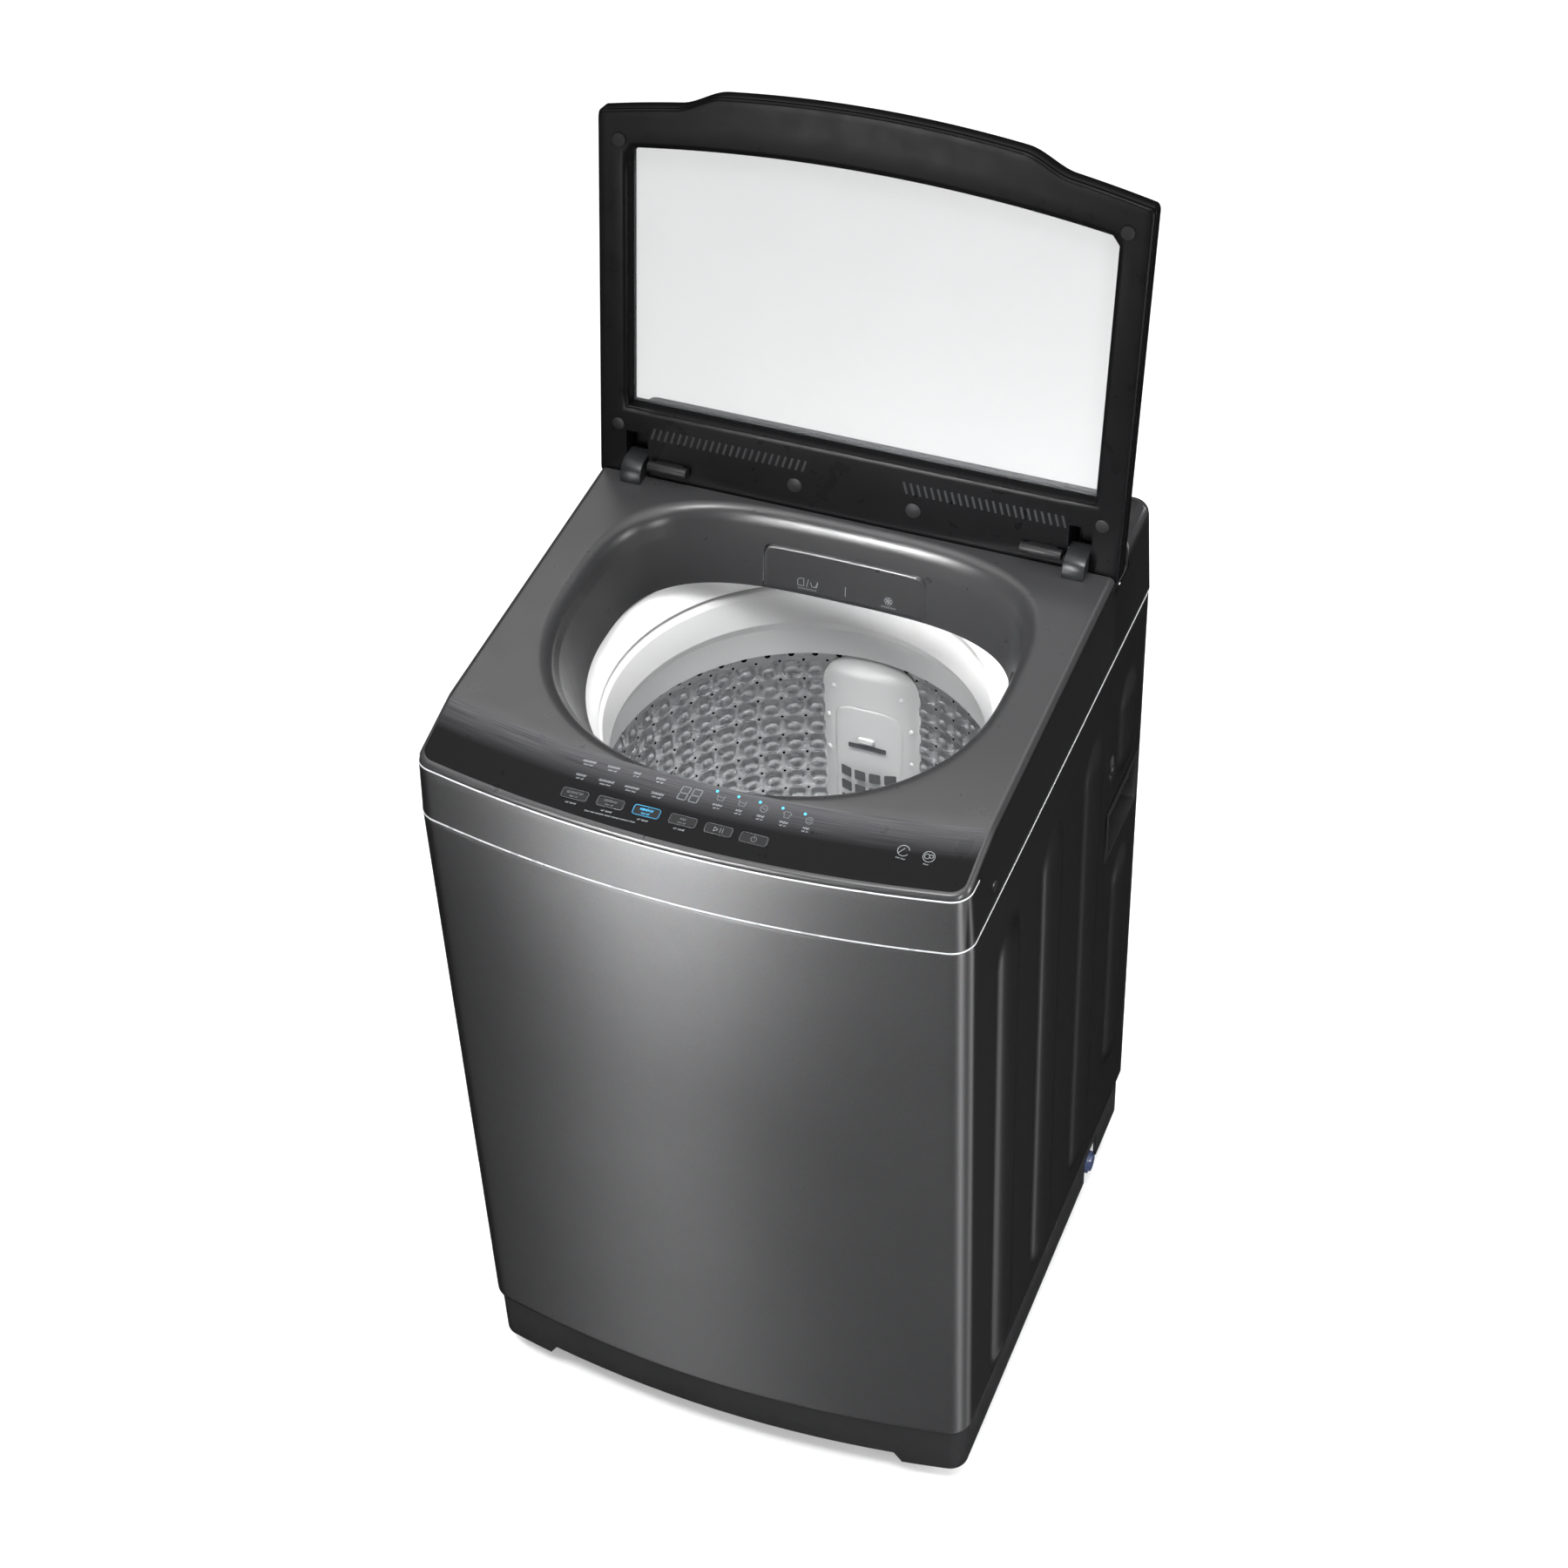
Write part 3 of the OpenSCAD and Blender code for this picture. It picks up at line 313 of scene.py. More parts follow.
def lin(h):
    """sRGB hex to linear."""
    out = []
    for k in (0, 2, 4):
        c = int(h[k:k + 2], 16) / 255
        out.append(c / 12.92 if c < 0.04045 else ((c + 0.055) / 1.055) ** 2.4)
    return tuple(out)


M = {}


def plain(key, name, shade, rough, **kw):
    M[key] = surface(name, lin(shade), rough, **kw)[0]


plain("deck", "cover_plastic", "2a2a2b", 0.3, vary=0.03, rough_vary=0.03, bump=0.04, grain=1500, spec=0.4)
plain("lid", "lid_black", "0a0a0b", 0.3, vary=0.1, rough_vary=0.04, bump=0.04, grain=1300, spec=0.07)
plain("black", "black_plastic", "161617", 0.42, vary=0.1, bump=0.06, grain=1300, spec=0.2)
plain("base", "base_plastic", "232324", 0.5, vary=0.05, bump=0.1, grain=1200, spec=0.15)
plain("white", "white_plastic", "f4f4f4", 0.32, vary=0.008, rough_vary=0.03, bump=0.02, grain=900, spec=0.4)
plain("pulsator", "pulsator_plastic", "e2e3e4", 0.34, vary=0.03, bump=0.03)
plain("rubber", "foot_rubber", "141414", 0.8, vary=0.15, bump=0.2, grain=700, spec=0.3)
plain("belt", "belt_rubber", "181818", 0.75, vary=0.15, bump=0.2, grain=700, spec=0.3)
plain("hose", "hose_grey", "7a7c80", 0.55, vary=0.08, bump=0.1)
plain("galv", "galvanised", "a2a4a6", 0.42, metal=0.9, vary=0.16, rough_vary=0.16, bump=0.04, grain=200)
plain("steel", "pin_steel", "b4b6b9", 0.28, metal=1.0, vary=0.06, bump=0.04, stretch=(1, 1, 14))
plain("spring", "spring_steel", "9c9ea0", 0.34, metal=1.0, vary=0.08, bump=0.03)
plain("screw", "screw_steel", "3c3c3e", 0.32, metal=0.8, vary=0.1, bump=0.05)
plain("cast", "cast_alloy", "9a9c9e", 0.52, metal=0.9, vary=0.1, rough_vary=0.12, bump=0.25, grain=420)
plain("motor", "motor_steel", "6c6e72", 0.4, metal=0.3, vary=0.08, bump=0.08)
plain("board", "board_green", "1f5f3a", 0.3, vary=0.2, bump=0.1, grain=300)
plain("trim", "trim_silver", "c4c5c7", 0.3, metal=0.3, vary=0.02, bump=0.01)
plain("hinge", "hinge_grey", "191a1b", 0.34, vary=0.04, bump=0.02, spec=0.25)
plain("handle", "handle_plastic", "1c1c1d", 0.45, vary=0.06, bump=0.08, spec=0.2)
plain("outlet", "outlet_plastic", "39415a", 0.2, vary=0.08, bump=0.02, spec=0.6)
plain("display", "display_glass", "070708", 0.16, vary=0.1, bump=0.01, spec=0.2)
plain("button", "button_black", "0b0b0c", 0.28, vary=0.1, bump=0.02, spec=0.2)
plain("seam", "seam_dark", "050505", 0.8, vary=0.1, bump=0.02, spec=0.1)
plain("ink", "ink_pale", "808385", 0.5, vary=0.03, bump=0.01)
plain("ink_dim", "ink_dim", "505356", 0.5, vary=0.03, bump=0.01)


def glow(name, col, power):
    m, _, bsdf = surface(name, col, 0.4, vary=0.05)[:3]
    bsdf.inputs["Emission Color"].default_value = tuple(col) + (1,)
    bsdf.inputs["Emission Strength"].default_value = power
    return m


M["blue"] = glow("ink_blue", (0.02, 0.3, 0.55), 0.35)


def paint_material(name, x0, x1):
    """Graphite paint brushed along the front; on the sides a near-black base colour is painted shade. Both
    change between x0 and x1.
    """
    m, nt, bsdf, base = surface(name, (0.1, 0.1, 0.102), 0.5, vary=0.03, bump=0.015, grain=2600)
    where = coords(nt)
    sep = nt.nodes.new("ShaderNodeSeparateXYZ")
    nt.links.new(where, sep.inputs["Vector"])
    out_from_middle = calc(nt, "ABSOLUTE", sep.outputs["X"])

    def by_side(front, side):
        return remap(nt, out_from_middle, x0, x1, front, side, "SMOOTHSTEP")
    flake = nt.nodes.new("ShaderNodeTexVoronoi")
    flake.inputs["Scale"].default_value = 1600.0
    nt.links.new(where, flake.inputs["Vector"])
    flaked = mix_colors(nt, 0.12, base, flake.outputs["Color"], "OVERLAY")
    wear = calc(nt, "MULTIPLY_ADD", noise(nt, where, 30.0, 4.0), 0.06, by_side(0.52, 0.42))
    radial = nt.nodes.new("ShaderNodeTangent")
    radial.direction_type = "RADIAL"
    radial.axis = "Z"
    # painted shade: on the sides the base colour turns near-black (101010)
    looks = {
        "Base Color": mix_colors(nt, by_side(0.0, 1.0), flaked, lin("101010") + (1,)),
        "Metallic": by_side(1.0, 0.0), "Anisotropic": by_side(0.86, 0.95),
        "Specular IOR Level": by_side(0.5, 0.4), "Roughness": wear,
        "Tangent": radial.outputs["Tangent"], "Anisotropic Rotation": 0.25,
    }
    for key, value in looks.items():
        feed(nt, bsdf.inputs[key], value)
    return m


# both paints carry painted shade: their base colour goes near-black on the sides
M["paint"] = paint_material("cabinet_paint", 0.2672, 0.2697)
M["band"] = paint_material("cover_paint", 0.2625, 0.2655)


def panel_material():
    """Brushed foil: long streaks along the panel as its own grain, made pale at its back edge by a painted
    highlight, black at the front.
    """
    look = surface("panel_black", lin("0c0c0d"), 0.3, vary=0.1, rough_vary=0.03, bump=0.0, spec=0.06)
    m, nt, bsdf = look[:3]
    sep = nt.nodes.new("ShaderNodeSeparateXYZ")
    nt.links.new(coords(nt), sep.inputs["Vector"])
    # distance from the crown's centre tells front from back
    flat = nt.nodes.new("ShaderNodeCombineXYZ")
    nt.links.new(sep.outputs["X"], flat.inputs["X"])
    nt.links.new(calc(nt, "SUBTRACT", CY * 0.001, sep.outputs["Y"]), flat.inputs["Y"])
    reach = nt.nodes.new("ShaderNodeVectorMath")
    reach.operation = "LENGTH"
    nt.links.new(flat.outputs["Vector"], reach.inputs[0])
    reach = reach.outputs["Value"]
    # painted highlight: the foil turns paler towards its back edge
    painted_highlight = remap(nt, reach, (RC - 42) * 0.001, (RC - 76) * 0.001)
    # streaks: noise stretched along X, following the crown
    along = nt.nodes.new("ShaderNodeCombineXYZ")
    nt.links.new(calc(nt, "MULTIPLY", sep.outputs["X"], 14.0), along.inputs["X"])
    nt.links.new(calc(nt, "MULTIPLY", reach, 2200.0), along.inputs["Y"])
    streaks = remap(nt, noise(nt, along.outputs["Vector"], 1.0, 3.0), 0.32, 0.68, 0.35, 1.2)
    # the grain streaks show only where the painted highlight is
    streaks_and_highlight = calc(nt, "MULTIPLY", painted_highlight, streaks)
    color = mix_colors(nt, streaks_and_highlight, lin("0a0a0b") + (1,), lin("4c4c4e") + (1,))
    nt.links.new(color, bsdf.inputs["Base Color"])
    return m


M["panel"] = panel_material()
plain("drum", "drum_steel", "d2d3d4", 0.3, metal=1.0, vary=0.05, rough_vary=0.06, bump=0.04,
      grain=700, stretch=(1, 1, 5))


def glass_material():
    m, nt, bsdf = node_mat("lid_glass")
    smear = noise(nt, coords(nt), 14.0, 4.0)
    nt.links.new(remap(nt, smear, 0.0, 1.0, 0.02, 0.07), bsdf.inputs["Roughness"])
    ramp = nt.nodes.new("ShaderNodeValToRGB")
    ramp.color_ramp.elements[0].color = (0.16, 0.165, 0.17, 1)
    ramp.color_ramp.elements[1].color = (0.2, 0.205, 0.21, 1)
    nt.links.new(smear, ramp.inputs["Fac"])
    nt.links.new(ramp.outputs["Color"], bsdf.inputs["Base Color"])
    bsdf.inputs["IOR"].default_value = 1.12
    bsdf.inputs["Alpha"].default_value = 0.3
    bsdf.inputs["Specular IOR Level"].default_value = 0.5
    m.blend_method = "BLEND"
    return m


M["glass"] = glass_material()

SLOT_MAT = {
    "base_plastic": "base", "cabinet_paint": "paint", "galvanised": "galv", "black_plastic": "black",
    "foot_rubber": "rubber", "handle_plastic": "handle", "cover_plastic": "deck", "panel_black": "panel",
    "display_glass": "display", "board_green": "board", "trim_silver": "trim", "hinge_grey": "hinge",
    "pin_steel": "steel", "screw_steel": "screw", "white_plastic": "white", "outlet_plastic": "outlet",
    "lid_black": "lid", "lid_glass": "glass", "button_black": "button", "cast_alloy": "cast",
    "motor_steel": "motor", "belt_rubber": "belt", "hose_grey": "hose", "spring_steel": "spring",
    "drum_steel": "drum", "pulsator_plastic": "pulsator",
}
SLOTS = {s["node"]: s["material_slot"] for s in frame["record"]["subparts"]}
for name, obj in frame["nodes"].items():
    obj.data.materials.clear()
    obj.data.materials.append(M[SLOT_MAT[SLOTS[name]]])


def soften(node, width):
    """Welds a part's mesh and rounds its edges."""
    o = frame["nodes"][node]
    w = o.modifiers.new("weld", "WELD")
    w.merge_threshold = 0.00002
    b = o.modifiers.new("edge", "BEVEL")
    b.width = width * 0.001
    b.segments = 3
    b.limit_method = "ANGLE"
    b.angle_limit = math.radians(35)
    b.harden_normals = True
    for p in o.data.polygons:
        p.use_smooth = True


EDGES = {
    0.2: ["lid_screw_caps"],
    0.4: ["back_cover", "cabinet_screws"],
    0.5: ["hinge_dampers", "lid_bumpers"],
    0.6: ["drain_outlet", "driven_pulley", "motor_pulley"],
    0.8: ["rear_cover_plate", "drawer_tray", "pulsator_screw", "spray_nozzle", "inlet_valve"],
    1.0: ["rear_feet", "foot_front_left", "foot_front_right", "drain_valve", "dispenser_housing"],
    1.2: ["side_handles"],
    1.5: ["base"],
    1.6: ["hinge_brackets", "pulsator"],
    2.0: ["outer_tub", "gearcase", "motor"],
}
for width, names in EDGES.items():
    for name in names:
        soften(name, width)


# ---------- outlines ----------
def front_path(i, n_front=56, n_corner=12):
    """From the left side's front end round the front to the right side's front end, drawn in by i."""
    pts = []
    for k in range(n_corner + 1):
        a = math.radians(180) + (math.radians(90) - A0) * k / n_corner
        pts.append((-(HW - CR) + (CR - i) * math.cos(a), CNY + (CR - i) * math.sin(a)))
    for k in range(1, n_front):
        a = -A0 + 2 * A0 * k / n_front
        pts.append(((RC - i) * math.sin(a), CY - (RC - i) * math.cos(a)))
    for k in range(n_corner + 1):
        a = math.radians(270) + A0 + (math.radians(90) - A0) * k / n_corner
        pts.append(((HW - CR) + (CR - i) * math.cos(a), CNY + (CR - i) * math.sin(a)))
    return pts


# ---------- cabinet ----------
# middle y, width, bottom and top of each rib on a side
RIBS = [(-144, 60, 108, 742), (-16, 62, 121, 742), (112, 62, 129, 742),
        (222, 54, 624, 742), (222, 54, 188, 500)]


def rib_height(y, z):
    best = 0.0
    for yc, w, z0, z1 in RIBS:
        r = w / 2
        zc = min(max(z, z0 + r), z1 - r)
        d = math.hypot(y - yc, z - zc)
        if d < r:
            t = 1 - d / r
            best = max(best, 4.9 * (1 - (1 - min(1.0, t * 1.15)) ** 2) ** 0.75)
    return best


def leaf(y, z):
    """Shallow leaf-shaped recess round the side screw."""
    d = math.hypot((y - 177.3) / 9.5, (z - 657) / 19.0)
    return -2.2 * (1 - smooth(0.55, 1.0, d))


def steps(a, b, d, extra=()):
    n = max(1, int(round((b - a) / d)))
    vals = [a + (b - a) * k / n for k in range(n + 1)]
    for e in extra:
        vals = [v for v in vals if abs(v - e) > d * 0.45 or v in (a, b)]
    return sorted(set(vals) | set(extra))


def cabinet():
    zs = [97.2, 97.6, 99.0] + steps(102, 799, 5.5, (538, 600)) + [803.2, 804.5, 804.9]

    def inset(z):
        d = min(z - 97.2, 804.9 - z)
        return 1.6 * (1 - math.sqrt(max(0.0, 1 - (1 - min(1.0, d / 1.8)) ** 2)))
    ys = steps(CNY, 279.0, 3.6, (168.0, 266.0))[1:]
    n_front = len(front_path(0))
    rows = []
    for z in zs:
        i = inset(z)
        row = [(-HW + i - rib_height(y, z) - leaf(y, z), y, z) for y in reversed(ys)]
        row += [(x, y, z) for x, y in front_path(i)]
        row += [(HW - i + rib_height(y, z) + leaf(y, z), y, z) for y in ys]
        rows.append(row)
    n = len(ys)

    def skip(r, c):
        z = (zs[r] + zs[r + 1]) / 2
        if not 538 < z < 600:
            return False
        if c < n - 1:
            y = (ys[n - 1 - c] + ys[n - 2 - c]) / 2
        elif c >= n + n_front:
            y = (ys[c - n - n_front] + ys[c - n - n_front + 1]) / 2
        else:
            return False
        return 168 < y < 266
    b = Build()
    b.grid(rows, skip)
    o = b.make("cabinet_skin", "cabinet", M["paint"], slot="cabinet_paint", replaces=["cabinet_shell"])
    solid(o, 1.0)
    # rear flanges
    f = Build()
    for s in (-1, 1):
        f.box((s * 262 - 8, 277.8, 98), (s * 262 + 7, 278.8, 804))
    f.make("cabinet_flanges", "cabinet", M["galv"], slot="cabinet_paint", shade=False)


cabinet()


# ---------- top cover ----------
def opening(f, t, grow=0.0):
    """Point on the opening wall at height fraction f (0 bottom, 1 deck)."""
    a = lerp(200, 217, f) + grow
    y0 = lerp(DY, -15, f)
    if t < math.pi:
        bb, n = lerp(128, 170, f) + grow, lerp(3.1, 3.5, f)
    else:
        bb, n = lerp(200, 191.5, f) + grow, lerp(2.0, 2.3, f)
    return a * sgn_pow(math.cos(t), 2 / n), y0 + bb * sgn_pow(math.sin(t), 2 / n)


def wall_y(x, z, grow=0.0):
    f = (z - 820.0) / 86.0
    a = lerp(200, 217, f) + grow
    y0, bb, n = lerp(DY, -15, f), lerp(128, 170, f) + grow, lerp(3.1, 3.5, f)
    return y0 + bb * (1 - min(1.0, abs(x / a)) ** n) ** (1 / n)


def wall_t(x, f):
    """Parameter at which the back half of the opening crosses x."""
    a, n = lerp(200, 217, f), lerp(3.1, 3.5, f)
    c = math.copysign(abs(x / a) ** (n / 2), x)
    return math.acos(max(-1, min(1, c)))


INS = 6.0


def deck_outline():
    """Outer edge of the flat deck: drafted plan, cut off at the trough."""
    i = DRAFT * (890 - 805) + INS
    pts = front_path(i, 56, 12)
    return [(-(HW - i), TROUGH_Y)] + pts + [(HW - i, TROUGH_Y)]


def ray_hit(poly, px, py, dx, dy):
    best = None
    for k in range(len(poly)):
        x1, y1 = poly[k]
        x2, y2 = poly[(k + 1) % len(poly)]
        ex, ey = x2 - x1, y2 - y1
        den = dx * ey - dy * ex
        if abs(den) < 1e-12:
            continue
        t = ((x1 - px) * ey - (y1 - py) * ex) / den
        u = ((x1 - px) * dy - (y1 - py) * dx) / den
        if t > 0 and -1e-6 <= u <= 1 + 1e-6 and (best is None or t < best):
            best = t
    return px + dx * best, py + dy * best


def under_foil(x, y):
    rho = math.hypot(x, CY - y)
    return RC - 70 < rho < RC - 13.5 and abs(x) < HW - 13.5 and y < -100


def top_cover():
    b = Build()
    poly = deck_outline()
    # parameter list, with exact stops at the drawer's edges
    n = 264
    ts = [2 * math.pi * k / n for k in range(n)]
    x_edge = 84.7
    cols = [wall_t(s * x_edge, 0.5) for s in (1, -1)]
    for c in cols:
        k = min(range(len(ts)), key=lambda q: abs(ts[q] - c))
        ts[k] = c
    rim = 11.0
    zbot = 820.0
    # turned-in lower edge, then the wall up to the rim
    foot = ((4.0, 5), (4.0, 0.6), (3.2, 0), (0.9, 0))
    rings = [[opening(0, t, grow) + (zbot + up,) for t in ts] for grow, up in foot]
    zs = [820.6, 826, 832, 838, 844, 850, 856, 862, 867, 871]
    for z in zs:
        f = (z - 820) / 86
        row = []
        for t in ts:
            tt = t
            if t in cols:
                tt = wall_t(x_edge if t == cols[0] else -x_edge, f)
            x, y = opening(f, tt)
            row.append((x, y, z))
        rings.append(row)
    wall_last = len(rings) - 1
    for t_z in (874, 877):
        f = (t_z - 820) / 86
        rings.append([(opening(f, t) + (t_z,)) for t in ts])
    # rolled rim: from the wall over to the deck
    for k in range(1, 11):
        a = math.pi / 2 * k / 10
        row = []
        for t in ts:
            x, y = opening(0.78, t)
            gx, gy = opening(0.78, t, rim + 3.5)
            zt = top_z(gx, gy)
            h = zt - 879.0
            w = math.sin(a)
            u = 1 - math.cos(a)
            row.append((lerp(x, gx, u), lerp(y, gy, u), 879.0 + h * w))
        rings.append(row)
    inner = [(r[0], r[1]) for r in rings[-1]]
    outer = [ray_hit(poly, 0, -15, x, y + 15) for x, y in inner]
    # the deck's rear corners and the ends of the corner arcs are hit exactly
    for c in (poly[0], poly[-1], poly[1], poly[-2]):
        k = min(range(len(outer)), key=lambda q: math.hypot(outer[q][0] - c[0], outer[q][1] - c[1]))
        outer[k] = c
    for k in range(1, 15):
        u = k / 14
        row = []
        for (x0, y0), (x1, y1) in zip(inner, outer):
            x, y = lerp(x0, x1, u), lerp(y0, y1, u)
            row.append((x, y, top_z(x, y)))
        rings.append(row)
    ids = [b.add(r) for r in rings]
    for r in range(len(ids) - 1):
        for j in range(n):
            k = (j + 1) % n
            if r <= wall_last - 1:
                t0, t1 = ts[j], ts[k]
                mid = (t0 + t1) / 2
                if cols[0] - 1e-9 <= mid <= cols[1] + 1e-9:
                    continue
            q = (ids[r][k], ids[r][j], ids[r + 1][j], ids[r + 1][k])
            if r > wall_last and all(under_foil(b.v[i][0], b.v[i][1]) for i in q):
                continue
            b.f.append(q)
    # spandrels over the rounded corners of the drawer's window
    for s in (-1, 1):
        cx, cz, r = s * (x_edge - 9), 862.0, 9.0
        fan = [(s * x_edge, 871.0)]
        for k in range(9):
            a = math.pi / 2 * k / 8
            fan.append((cx + s * r * math.cos(a), cz + r * math.sin(a)))
        idx = b.add([(x, wall_y(x, z), z) for x, z in fan])
        for k in range(1, len(idx) - 1):
            tri = (idx[0], idx[k], idx[k + 1])
            b.f.append(tri if s > 0 else tri[::-1])
    # outer side: band, then a fillet up to the deck
    side_y = steps(CNY, TROUGH_Y, 12)[1:]

    def ring_at(i):
        left = [(-(HW - i), y) for y in reversed(side_y)]
        return left + front_path(i) + [(HW - i, y) for y in side_y]
    rows = []
    top = [top_z(x, y) for x, y in ring_at(DRAFT * 85 + INS)]
    for z in (805.3, 805.6, 806.2, 820, 840, 855, 863):
        i = DRAFT * (z - 805) + (0.5 if z < 805.5 else 0)
        rows.append([(x, y, min(z, tz - 6.4)) for (x, y), tz in zip(ring_at(i), top)])
    rows.append([(x, y, tz - INS) for (x, y), tz in zip(ring_at(DRAFT * 85), top)])
    band = Build()
    band.grid(rows)
    band.make("cover_band", "cabinet", M["band"], slot="cover_plastic")
    rows = [rows[-1]]
    for k in range(1, 7):
        a = math.pi / 2 * k / 6
        i = DRAFT * 85 + INS * (1 - math.cos(a))
        rows.append([(x, y, tz - INS * (1 - math.sin(a))) for (x, y), tz in zip(ring_at(i), top)])
    b.grid(rows)
    # rear: side walls of trough and housing, the housing itself as a lofted bar
    rear(b)
    b.make("cover_top", "cabinet", M["deck"], slot="cover_plastic", replaces=["top_cover"], auto=50)


def rear(b):
    """Trough behind the deck and the raised housing, one section per x."""
    half, round_r = HW - 5.0, 14.0
    ends = [0.0, 0.35, 1.2, 2.6, 4.6, 7.2, 10.4, round_r]
    xs = [e - half for e in ends] + steps(20 - half, half - 20, 40) + [half - e for e in reversed(ends)]

    def drop(x):
        e = min(round_r, half - abs(x))
        return round_r - math.sqrt(max(0.0, round_r ** 2 - (round_r - e) ** 2))
    rows = []
    for x in xs:
        zt = REAR_Z - drop(x)
        past = max(0.0, INS - (HW - 4.5 - abs(x)))
        zd = deck_z(TROUGH_Y) - (INS - math.sqrt(max(0.0, INS ** 2 - past ** 2)))
        prof = [(TROUGH_Y - 1.5, zd), (TROUGH_Y, zd - 1.5), (TROUGH_Y, TROUGH_Z + 1),
                (TROUGH_Y + 1, TROUGH_Z), (HUMP_Y - 2, TROUGH_Z), (HUMP_Y, TROUGH_Z + 2)]
        prof += [(HUMP_Y, zt - 5)]
        prof += [(HUMP_Y + 5 - 5 * math.cos(a), zt - 5 + 5 * math.sin(a)) for a in (0.4, 0.8, 1.2, 1.57)]
        prof += [(HUMP_Y + 7.6, zt), (HUMP_Y + 7.8, zt - 1.2), (HUMP_Y + 8.3, zt - 1.2),
                 (BY - 8.3, zt - 1.2), (BY - 7.8, zt)]
        prof += [(BY - 5 + 4 * math.sin(a), zt - 4 + 4 * math.cos(a)) for a in (0, 0.4, 0.8, 1.2, 1.57)]
        prof += [(BY - 0.6, 806.0), (BY, 805.3)]
        rows.append([(x, y, z) for y, z in prof])
    b.grid(rows, flip=True)
    # side walls below the section, with the draft
    band = Build()
    for s in (-1, 1):
        tops = [(TROUGH_Y, deck_z(TROUGH_Y) - 6), (TROUGH_Y + 0.01, TROUGH_Z), (HUMP_Y - 0.01, TROUGH_Z),
                (HUMP_Y, REAR_Z - 19), (HUMP_Y + 1.5, REAR_Z - 15.5), (HUMP_Y + 5, REAR_Z - 14),
                (BY - 5, REAR_Z - 14), (BY - 1.6, REAR_Z - 15.5), (BY - 0.3, REAR_Z - 18)]
        g = []
        for f in (0, 0.02, 0.3, 0.6, 1.0):
            points = [(y, lerp(805.3, z_top, f)) for y, z_top in tops]
            g.append([(s * (HW - DRAFT * (z - 805) + (0 if f else -0.5)), y, z) for y, z in points])
        band.grid(g, flip=(s < 0))
    band.make("cover_band_rear", "cabinet", M["band"], slot="cover_plastic", shade=False)


top_cover()


# ---------- drawer front ----------
def drawer_front():
    b = Build()
    x1, zt, r = 84.3, 870.6, 8.6
    xs = steps(-x1, x1, 6)
    rows = []
    for k in range(11):
        f = k / 10
        row = []
        for x in xs:
            e = max(0.0, abs(x) - (x1 - r))
            z_top = zt - r + math.sqrt(max(0.0, r * r - e * e)) if e > 0 else zt
            z = lerp(820.4, z_top, f)
            row.append((x, wall_y(x, z, 0.05), z))
        rows.append(row)
    b.grid(rows)
    o = b.make("drawer_face", "drawer", M["deck"], slot="cover_plastic", replaces=["drawer_front"])
    solid(o, 2.6)


def drawer_marks():
    """Detergent and softener symbols and the divider tick, raised a hair from the drawer's face."""
    b = Build()

    def stroke(pts, w, cx, closed=False, k=0.7, cz=834.5):
        seq = [(cx + x * k, cz + z * k) for x, z in pts]
        if closed:
            seq.append(seq[0])
        for (xa, za), (xb, zb) in zip(seq, seq[1:]):
            dx, dz = xb - xa, zb - za
            ln = math.hypot(dx, dz) or 1
            nx, nz = -dz / ln * w / 2, dx / ln * w / 2
            q = [(xa + nx, za + nz), (xa - nx, za - nz), (xb - nx, zb - nz), (xb + nx, zb + nz)]
            b.f.append(tuple(b.add([(x, wall_y(x, z, 0.05) - 0.12, z) for x, z in q])))
    # box and scoop
    stroke([(-14, -6), (-14, 3), (-10, 6), (-5, 6), (-5, -6)], 0.7, -39, True)
    stroke([(-1, -7), (2, 6)], 0.7, -39)
    stroke([(5, 2), (7, -5), (14, -5), (16, 2)], 0.7, -39)
    stroke([(12, -5), (16, 5)], 0.7, -39)
    # flower
    for cx, cz in circle(3.6, 6):
        stroke(circle(2.6, 8, cx, cz), 0.5, 46, True)
    stroke([(0, -9), (0, 7)], 0.8, 1)
    # word-like ticks below the symbols
    for cx, half in ((-39, 9), (46, 7)):
        n = int(half * 2 / 1.5)
        for t in range(n):
            x = lerp(-half, half, t / (n - 1))
            stroke([(x, -1.0 if t % 2 else -1.3), (x, 1.0)], 0.45, cx, k=1.0, cz=827.2)
            stroke([(x, 0.9 if t % 3 else 0), (x + 0.9, 0.9 if t % 3 else 0)], 0.4, cx, k=1.0, cz=827.2)
    b.make("drawer_marks", "drawer", M["ink"], slot="cover_plastic", shade=False)


drawer_front()
drawer_marks()


# ---------- console panel ----------
def cone(x, y, h=0.0):
    """Point above the console's sloping surface."""
    rho = math.hypot(x, CY - y)
    z = 870.0 + (RC - rho) * SLOPE
    c, s = 1 / math.hypot(1, SLOPE), SLOPE / math.hypot(1, SLOPE)
    nx, ny = x / rho, -(CY - y) / rho
    return (x + nx * s * h, y + ny * s * h, z + c * h)


def rounded_rect(cx, cy, w, d, r, n=5):
    pts = []
    w, d = w / 2, d / 2
    for sx, sy, a0 in ((1, 1, 0), (-1, 1, 90), (-1, -1, 180), (1, -1, 270)):
        for k in range(n + 1):
            a = math.radians(a0 + 90 * k / n)
            pts.append((cx + sx * (w - r) + r * math.cos(a), cy + sy * (d - r) + r * math.sin(a)))
    return pts


BX = [-104, -69, -34, 1, 35, 68.5]
BYC = -249.3
BN = ["button_temperature", "button_program", "button_process", "button_set", "button_start", "button_power"]


